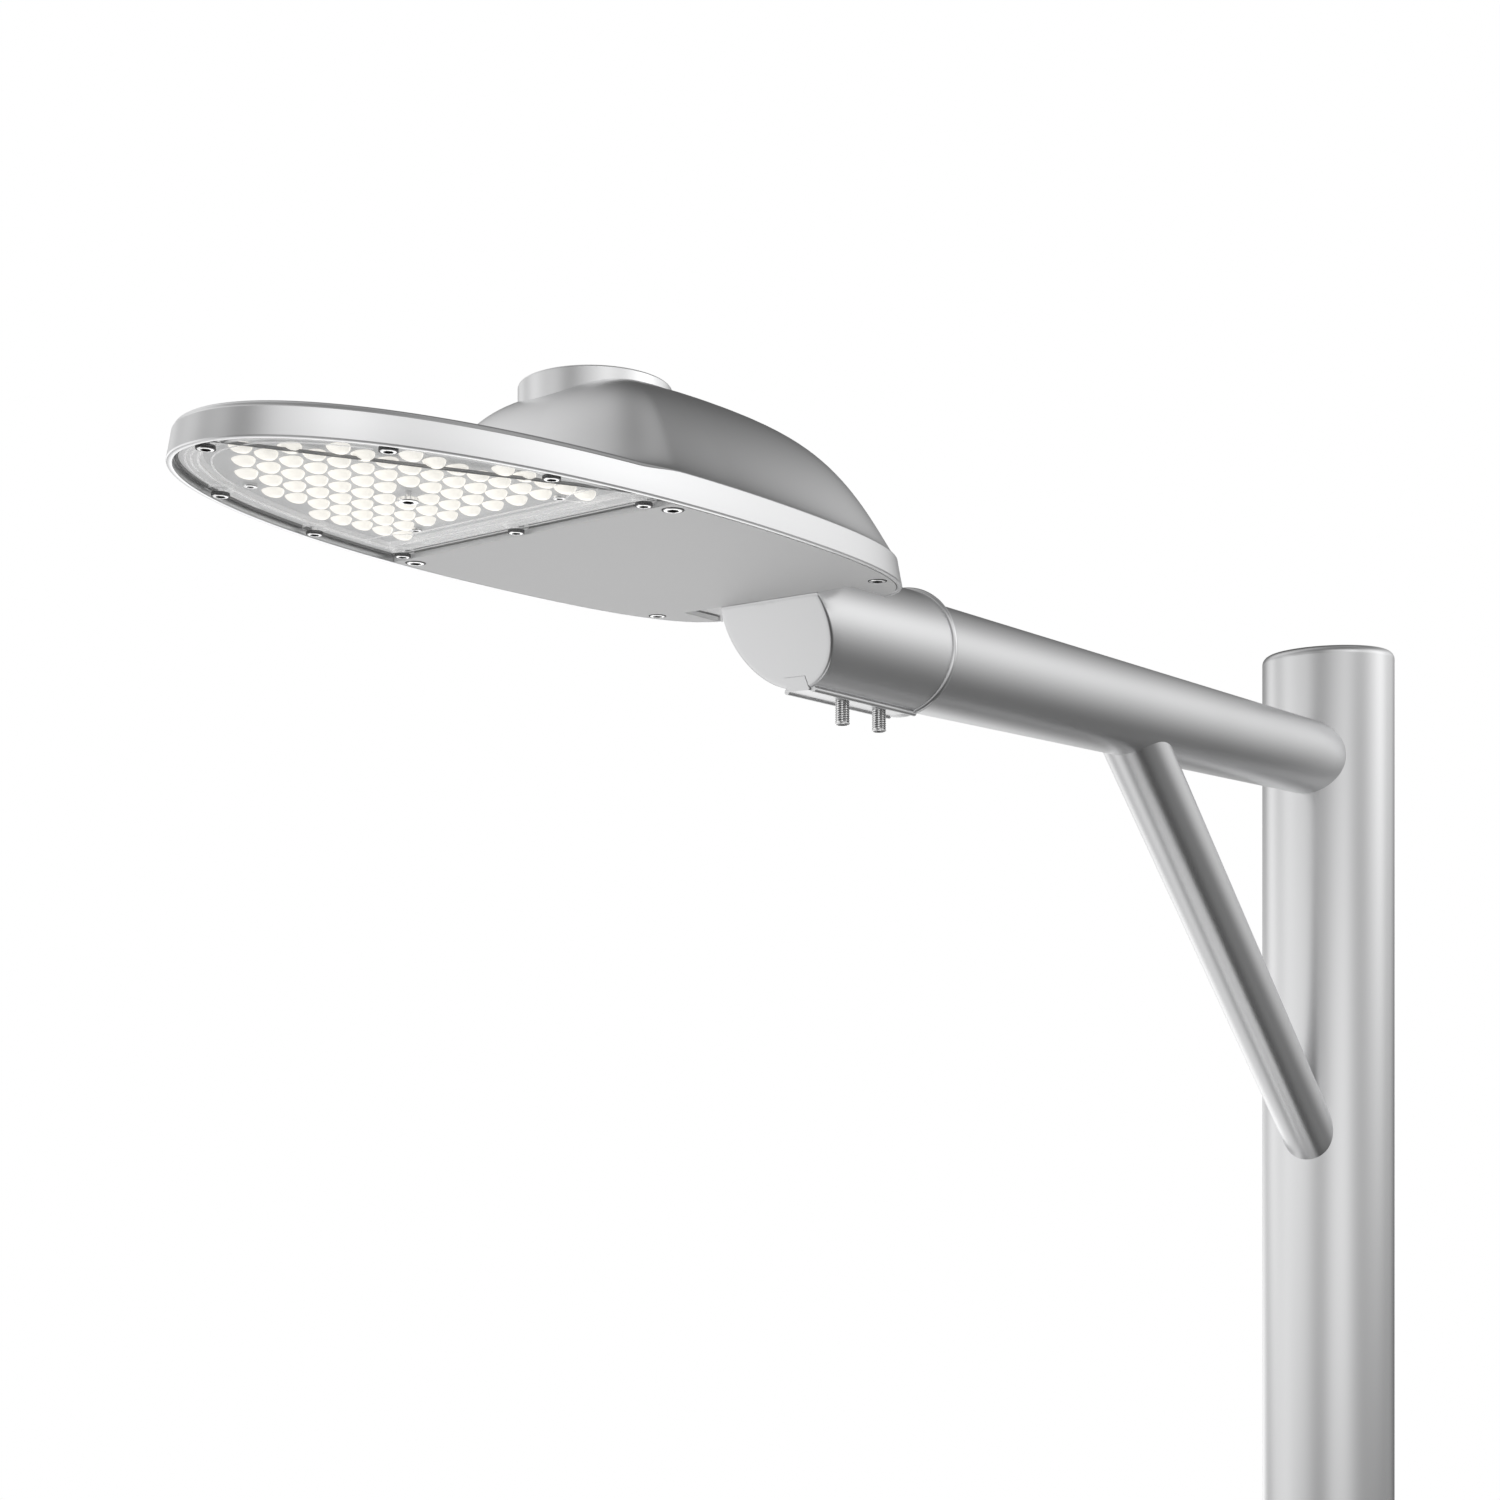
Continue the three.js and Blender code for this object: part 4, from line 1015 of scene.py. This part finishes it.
# %% [markdown]
# Two set screws come out under the pad. Their threads show, so they are modelled as real helices
# with the hexagon socket in the end. The faces deep in the thread take a near-black painted shade,
# as little light reaches the bottom of so fine a groove.


# %% Set screws
def set_screw(low, high):
    """A threaded bar with a socket in its lower end: rings go up the well, out, and along the thread."""
    sides = 32
    angle = np.arange(sides) * TAU / sides
    key = hexagon(2.6, angle)
    well = [(0, low + 5), (key, low + 5), (key, low + 0.4), (key + 0.5, low), (3.8, low)]
    rows = np.stack([ring(r, z, angle) for r, z in well])
    thread = threaded(4.9, 1.5, low + 0.3, high, 0.75, sides)
    return Shell().grid(np.concatenate([rows, thread, ring(0, high, angle)[None]]))


# Faces deep in each thread take the near-black painted shade.
thread_valley = 4.32
for i, station in enumerate((30, 73)):
    bar = make(f"Set_screw_{i + 1}", set_screw(-57.0, -30.5), stainless, "head", [f"set_screw_{i + 1}"],
               HEAD + [-station, 0, 0], sharp=25)
    bar.data.materials.append(painted_shade)
    for face in bar.data.polygons:
        from_axis = math.hypot(face.center.x * 1000 - HEAD[0] + station, face.center.y * 1000)
        if from_axis < thread_valley and abs(face.normal.z) < 0.9:
            face.material_index = 1

# %% [markdown]
# ## Covers
# Two flat covers close the head from below: a clear one over the LEDs and a grey one over the
# gear. Both follow the head's outline just inside the lip and meet in a straight joint line. The
# lists give the places of all the screws under the head, seen from above.

# %% Cover outlines and screws
partition, cover_t = 363.5, 3
lens_screws = [[-556.2, 0], [-505.8, 60], [-505.8, -60], [-430.6, 85], [-430.6, -85],
               [-369.1, 87.4], [-369.1, -87.4], [-369.1, 0]]
cover_screws = [[-354.4, 93.5], [-354.4, -93.5], [-159.2, 84.3], [-159.2, -84.3]]
led_pitch_x, led_pitch_y, led_start = 13.7, 16.5, 387.0
centre_screw = [-led_start - 4 * led_pitch_x, 0.0]
far_row = -led_start - 8 * led_pitch_x
board_screws = [[far_row, -49.5], [-391.0, -52.0], [far_row, 49.5], [-391.0, 52.0]]


def front_part(grow, x):
    """The outline in front of a straight line across the head."""
    loop = head_outline(grow)
    kept = loop[loop[:, 0] < x - 0.5]
    upper, lower = kept[kept[:, 1] > 0], kept[kept[:, 1] <= 0]
    y = np.interp(x, *loop[:half_points].T)
    return np.vstack([lower, upper, [[x, y], [x, -y]]])


def rear_part(grow, x, notch_grow):
    """The outline behind a line, with the notch for the clamp taken out of it."""
    loop = head_outline(grow)
    edge = notch_half + notch_grow
    kept = loop[(loop[:, 0] > x + 0.5) & (loop[:, 1] > edge + 0.2)]
    y = np.interp(x, *loop[:half_points].T)
    curve = loop[half_points - 60:half_points][::-1]
    lobe = np.interp(edge, curve[:, 1], curve[:, 0])
    half = np.vstack([[[x, y]], kept, [[lobe, edge], [-notch_front - notch_grow, edge]]])
    return np.vstack([half, half[::-1] * [1, -1]])


gear_holes = [circle(x, y, 5.6) for x, y in cover_screws]
gear_outline = rear_part(-0.5, -partition + 0.4, 0.8)
gear_cover = plate(Shell(), gear_outline, gear_holes, plane, plane + cover_t, 0.35)
settle(make("Gear_cover", gear_cover, grey_plate, "head", ["gear_cover"], HEAD))
lens_holes = [circle(x, y, 4.4) for x, y in lens_screws] + [circle(*centre_screw, 5.6)]
lens_outline = front_part(-0.5, -partition - 0.3)
lens_cover = plate(Shell(), lens_outline, lens_holes, plane, plane + cover_t, 0.35)
settle(make("Lens_cover", lens_cover, clear_cover, "head", ["lens_cover"], HEAD))

# %% [markdown]
# The clear cover is a moulding. Low ribs stand on its inside: one follows the edge of the LED
# window, three bow round the nose, a stack of them crosses the head in front of the joint line,
# and a thin-walled boss stands round each screw. Light catches them as pale lines, helped by a
# faint glow painted into their finish, which is what makes clear plastic look solid.


# %% Ribs and bosses of the clear cover
def rib(shell, path, width, low, high):
    """An upright strip along an open path, which is moved half the width to each side."""
    path = np.asarray(path, float)
    ahead = np.gradient(path, axis=0)
    ahead /= np.linalg.norm(ahead, axis=1, keepdims=True)
    across = np.stack([-ahead[:, 1], ahead[:, 0]], -1) * width / 2
    left, right = path + across, path - across
    corners = ((left, low), (right, low), (right, high), (left, high))
    return shell.solid_grid(np.stack([at_height(side, z) for side, z in corners], 1))


def boss(shell, x, y, outer, inner, low, high):
    """A thin-walled tube standing on the cover."""
    section = [[inner, low], [outer, low], [outer, high], [inner, high], [inner, low]]
    return shell.grid(turned(section, 36) + np.array([x, y, 0]))


ribs = Shell()
ledge = plane + cover_t
window = head_outline(-11.5)
window = window[window[:, 0] < -376]
order = np.argsort(np.unwrap(np.arctan2(window[:, 1], -(window[:, 0] + 380))))
rib(ribs, window[order], 1.0, ledge, ledge + 0.6)
for inset, limit in ((-5.5, -470), (-17.5, -505), (-8.2, -530)):
    bow = head_outline(inset)
    bow = bow[bow[:, 0] < limit]
    rib(ribs, bow[np.argsort(bow[:, 1])], 0.7, ledge, ledge + 0.4)
cross_ribs = ((-391.5, 55.5, 2.2), (-384.5, 62, 0.9), (-380.0, 88, 1.0),
              (-375.5, 60, 0.9), (-370.2, 94, 1.4), (-366.2, 96, 0.9))
for x, half, width in cross_ribs:
    path = np.column_stack([np.full(9, x), np.linspace(-half, half, 9)])
    rib(ribs, path, width * 0.6, ledge, ledge + 0.45)
short_ribs = ((-391.5, 55.5, -380, 62), (-380, 62, -370, 64), (-380, 20, -370, 22),
              (-391.5, 55.5, -398, 66), (-398, 66, -398, 84))
for side in (-1, 1):
    for x0, y0, x1, y1 in short_ribs:
        path = np.column_stack([np.linspace(x0, x1, 4), side * np.linspace(y0, y1, 4)])
        rib(ribs, path, 0.7, ledge, ledge + 0.4)
for x, y in lens_screws:
    boss(ribs, x, y, 6.4, 5.6, ledge, ledge + 1.0)
make("Lens_cover_ribs", ribs, clear_rib_painted_glow, "head", [], HEAD, sharp=40)

# %% [markdown]
# Behind the clear cover lies the light engine: a white board and, on it, one moulded array with a
# pillow of clear ivory silicone over each LED. A lens is a dome whose height follows
# `(1 - r^2.6)^0.62` on an oval foot, with its peak pushed off centre, as a street lens throws its
# light along the road.


# %% LED board and lenses
def lens_places():
    """Rows across the head, columns along it; the rows grow shorter towards the sides."""
    spans = [(1, 11), (1, 10), (1, 9), (1, 7), (0, 4)]
    for row in range(-4, 5):
        first, last = spans[abs(row)]
        for column in range(first, last + 1):
            if row or column != 4:
                yield -led_start - led_pitch_x * column, row * led_pitch_y


board_outline = front_part(-13.5, -379.5)
board_holes = [circle(x, y, 1.8, 24) for x, y in board_screws + [centre_screw]]
led_board = plate(Shell(), board_outline, board_holes, plane + 8, plane + 10, 0.2)
# The board and the lens plate take the white finish with its painted glow.
make("LED_board", led_board, board_white_painted_glow, "head", ["led_board"], HEAD)
array = plate(Shell(), board_outline, board_holes, plane + 6, plane + 8, 0.3)
make("Lens_plate", array, board_white_painted_glow, "head", ["lens_array"], HEAD)

lens_rows, lens_sides = 9, 24
angle = np.arange(lens_sides) * TAU / lens_sides
share = np.sin(np.radians(np.linspace(90, 0, lens_rows)))[:, None]
height = 3.6 * (1 - share**2.6) ** 0.62
lens_x = 5.2 * share * np.cos(angle) + 1.2 * (1 - share)
lens_y = 5.9 * share * np.sin(angle) * (1 - 0.34 * share * np.cos(angle))
lens_shape = np.stack([lens_x, lens_y, plane + 6.4 - height + 0 * lens_x], -1)
lenses = Shell()
places = list(lens_places())
for x, y in places:
    lenses.grid(lens_shape + np.array([x, y, 0]), ends=(0,))
# The lenses take the ivory finish with its painted glow.
make("LED_lenses", lenses, ivory_painted_glow, "head", ["lens_array"], HEAD, sharp=60)
print("lenses:", len(places))


# %% [markdown]
# Each screw is a low button with a hexagon socket. The socket's well takes a near-black painted
# shade inside, because in a real one almost no light finds its way back out. A thin black ring
# sits in the gap round each head of both covers' screws: a painted shade of that gap.


# %% Screws
def socket_screw(radius, shank, low, high, key):
    """Rings from the bottom of the hexagon well over the button's edge to the shank's end."""
    sides = 48
    angle = np.arange(sides) * TAU / sides
    well, head = hexagon(key, angle), low + 2.0
    rings = [(0, low + 1.5), (well, low + 1.5), (well, low + 0.15), (well + 0.2, low),
             (radius - 0.9, low), (radius - 0.35, low + 0.12), (radius, low + 0.5),
             (radius, head), (shank, head), (shank, high), (0, high)]
    return Shell().grid(np.stack([ring(r, z, angle) for r, z in rings]))


def place_screw(name, node, x, y, radius, shank, low, high, key):
    """One screw, with its well in near-black painted shade. A hexagon's corner is 1.16 times its flat."""
    shell = socket_screw(radius, shank, low, high, key)
    piece = make(name, shell, stainless, "head", [node], HEAD + [x, y, 0], sharp=35)
    piece.data.materials.append(painted_shade)
    middle = Vector((HEAD + [x, y, 0]) / 1000)
    for face in piece.data.polygons:
        away = (face.center - middle) * 1000
        if math.hypot(away.x, away.y) < key * 1.16 and low + 0.05 < away.z < low + 1.6:
            face.material_index = 1


for name, spots, sizes in (("Lens_screw", lens_screws, (3.8, 2.0, plane - 0.5, plane + 13, 2.0)),
                           ("Cover_screw", cover_screws, (4.9, 2.5, plane - 0.5, plane + 13, 2.6)),
                           ("Board_screw", board_screws, (3.5, 1.5, plane + 4.4, plane + 13, 1.3))):
    for i, (x, y) in enumerate(spots):
        place_screw(f"{name}_{i + 1}", f"{name.lower()}_{i + 1}", x, y, *sizes)
place_screw("Centre_screw", "centre_screw", *centre_screw, 5.2, 1.5, plane + 0.5, plane + 13, 2.4)
# Thin black rings in the gap round each cover screw's head: a painted shade of that gap.
painted_shade_rings = Shell()
for spots, inner, outer in ((lens_screws, 3.5, 4.35), (cover_screws, 4.6, 5.5)):
    for x, y in spots:
        boss(painted_shade_rings, x, y, outer, inner, plane - 0.15, plane + 1.4)
make("Sealing_washers", painted_shade_rings, black_plastic, "head", [], HEAD, sharp=40)

# %% [markdown]
# ## Photocontrol
# The light sensor on top is a plain moulded drum with a small rounded edge. It sits in a seat cut
# in the dome's crown, so the casting loses a round pocket there.

# %% Photocontrol drum and its seat
drum_low, drum_high = frame_box("photocontrol_cap")
drum = (drum_low + drum_high) / 2
drum_r = (drum_high[0] - drum_low[0]) / 2
seat_r, seat_low, seat_high = drum_r + 0.6, drum_low[2], drum_high[2] + 40
seat = turned([[0, seat_low], [seat_r, seat_low], [seat_r, seat_high], [0, seat_high]], 96)
take_out(head_casting, Shell().grid(seat), (drum[0], 0, 0))
drum_profile = np.vstack([
    [[0, seat_low + 6.6], [35.5, seat_low + 6.6], [35.5, seat_low + 0.3], [drum_r, seat_low + 0.3]],
    arc((drum_r - 1.2, drum_high[2] - 1.2), 1.2, 0, 90, 7),
    [[drum_r * 0.6, drum_high[2]], [0, drum_high[2]]],
])
drum_shell = Shell().grid(turned(drum_profile, 128))
settle(make("Photocontrol_drum", drum_shell, silver_cast, "photocontrol", ["photocontrol_cap"],
            (drum[0], 0, 0), sharp=40))

# %% [markdown]
# The inside of the casting is left bare, and light comes in through the clear cover from many
# sides. The faces inside the rim, up to the roof of the recess, take that pale finish, with a faint
# white glow painted in for that light. The skin outside keeps its paint.

# %% Bare inside of the casting, and the lens seal
inner_edge = head_outline(-0.05) - dome_centre
edge_angle = np.arctan2(inner_edge[:, 1], inner_edge[:, 0])
order = np.argsort(edge_angle)
edge_angle, edge_reach = edge_angle[order], np.hypot(*inner_edge[order].T)
# The inside faces take the bare finish with its painted glow.
head_casting.data.materials.append(bare_casting_painted_glow)
inside_number = len(head_casting.data.materials) - 1
for face in head_casting.data.polygons:
    place = np.array(face.center) * 1000 - HEAD
    from_crown = place[:2] - dome_centre
    limit = np.interp(math.atan2(from_crown[1], from_crown[0]), edge_angle, edge_reach, period=TAU)
    in_recess = place[2] < plane + 12.2 and np.hypot(*from_crown) < limit
    if in_recess and (place[2] > plane + 0.2 or abs(face.normal.z) > 0.5):
        face.material_index = inside_number

gasket_loop = front_part(-1.6, -partition - 1.6)
seal = Shell()
rib(seal, np.vstack([gasket_loop, gasket_loop[:1]]), 1.6, plane + 3.0, plane + 4.2)
make("Lens_seal", seal, seal_rubber, "head", ["lens_gasket"], HEAD)

# %% [markdown]
# ## Studio
# The post stands on a small pale floor in soft light. The room is drawn in the world shader: a
# white backdrop for the camera, and for every other ray a set of soft panels. A panel is a
# direction and a strength, `strength * exp(spread * (dot(ray, direction) - 1))`, and all of them
# have one spread.

# %% Camera
camera = bpy.data.objects.new("Camera", bpy.data.cameras.new("Camera"))
bpy.context.collection.objects.link(camera)
camera.location = (-1.8409, -0.6478, arm_z / 1000 - 0.2104)
camera.rotation_euler = (math.pi / 2, 0, -math.atan2(0.7917, 0.6109))
camera.data.lens, camera.data.sensor_width = 42.0, 36.0
camera.data.shift_y = 0.1407
bpy.context.scene.camera = camera
bpy.context.scene.view_settings.view_transform = "Standard"

# %% Soft panels
panels = [
    (-0.18, 0.09, 0.98, 0.28), (-0.07, 0.33, 0.94, 0.33), (0.30, -0.22, 0.93, 0.36),
    (-0.26, 0.59, 0.77, 0.43), (-0.05, 0.75, 0.66, 0.43), (-0.71, -0.42, 0.57, 0.79),
    (0.24, 0.80, 0.55, 0.58), (0.37, -0.76, 0.54, 0.50), (-0.79, 0.31, 0.53, 0.46),
    (-0.39, -0.77, 0.50, 1.24), (0.75, -0.46, 0.47, 0.37), (0.09, -0.90, 0.43, 0.81),
    (0.91, 0.01, 0.41, 0.38), (0.58, -0.73, 0.37, 0.82), (-0.45, 0.84, 0.31, 0.54),
    (0.90, -0.31, 0.30, 0.50), (-0.65, 0.75, 0.14, 0.35), (0.20, 0.97, 0.10, 0.74),
    (0.51, -0.86, 0.09, 0.84), (-0.95, 0.29, 0.07, 0.48), (0.89, -0.45, 0.02, 0.36),
    (-0.96, -0.27, 0.01, 0.23), (0.18, -0.98, -0.02, 0.48), (-0.80, 0.60, -0.03, 0.47),
    (-0.67, -0.74, -0.06, 0.87), (-0.01, 1.00, -0.07, 0.67), (-0.99, 0.08, -0.10, 0.39),
    (0.78, 0.61, -0.11, 0.46), (-0.16, -0.98, -0.13, 0.33), (-0.54, 0.83, -0.14, 0.61),
    (-0.87, -0.46, -0.17, 0.77), (-0.89, 0.41, -0.21, 0.43), (-0.48, -0.85, -0.23, 0.31),
    (-0.22, 0.94, -0.25, 0.46), (0.80, -0.55, -0.26, 0.17), (0.61, 0.74, -0.29, 0.90),
    (0.79, 0.47, -0.39, 0.32), (0.60, 0.56, -0.57, 0.60), (-0.49, 0.64, -0.59, 0.78),
    (0.78, -0.13, -0.61, 0.13), (0.36, -0.67, -0.65, 0.19), (-0.22, 0.68, -0.70, 0.54),
    (0.38, 0.55, -0.74, 0.35), (0.02, 0.59, -0.81, 0.69),
]
panel_spread, ambient = 24.0, 0.039

world = bpy.data.worlds.new("Studio")
world.use_nodes = True
bpy.context.scene.world = world
room = Finish(world.node_tree)
ray = room.node("ShaderNodeTexCoord", output="Generated")
glow = ambient
for *direction, strength in panels:
    facing = room.node("ShaderNodeVectorMath", {"operation": "DOT_PRODUCT"},
                       [ray, Vector(direction).normalized()], output="Value")
    bell = room.node("ShaderNodeMath", {"operation": "EXPONENT"}, [(facing - 1.0) * panel_spread])
    glow = bell * strength + glow
seen = room.node("ShaderNodeLightPath", output="Is Camera Ray")
level = seen + (1 - seen) * glow
backdrop = room.node("ShaderNodeBackground", None, {"Color": (1, 1, 1, 1), "Strength": level})
room.node("ShaderNodeOutputWorld", None, {"Surface": backdrop})

# %% Floor
floor_finish = bpy.data.materials.new("Pale floor")
floor_finish.use_nodes = True
pale = Finish(floor_finish.node_tree)
dust = grain(pale, 3, 3.0)
concrete = pale.node("ShaderNodeBsdfPrincipled", None, {
    "Base Color": two_tone(pale, dust, (0.82, 0.82, 0.82), (0.84, 0.84, 0.84)),
    "Roughness": 0.9, "Emission Color": (1, 1, 1, 1), "Emission Strength": 0.5,
})
pale.node("ShaderNodeOutputMaterial", None, {"Surface": concrete})
floor_mesh = bpy.data.meshes.new("Floor")
floor_ring = circle(0, 0, 1.1, 96)
floor_mesh.from_pydata([(x, y, -0.0005) for x, y in floor_ring], [], [list(range(96))])
floor_mesh.materials.append(floor_finish)
floor = bpy.data.objects.new("Floor", floor_mesh)
bpy.context.collection.objects.link(floor)
floor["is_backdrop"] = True

# %% Sizes, and the end
bpy.context.view_layer.update()
low, high = [list(corner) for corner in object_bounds()]
print("visual box", low, high)
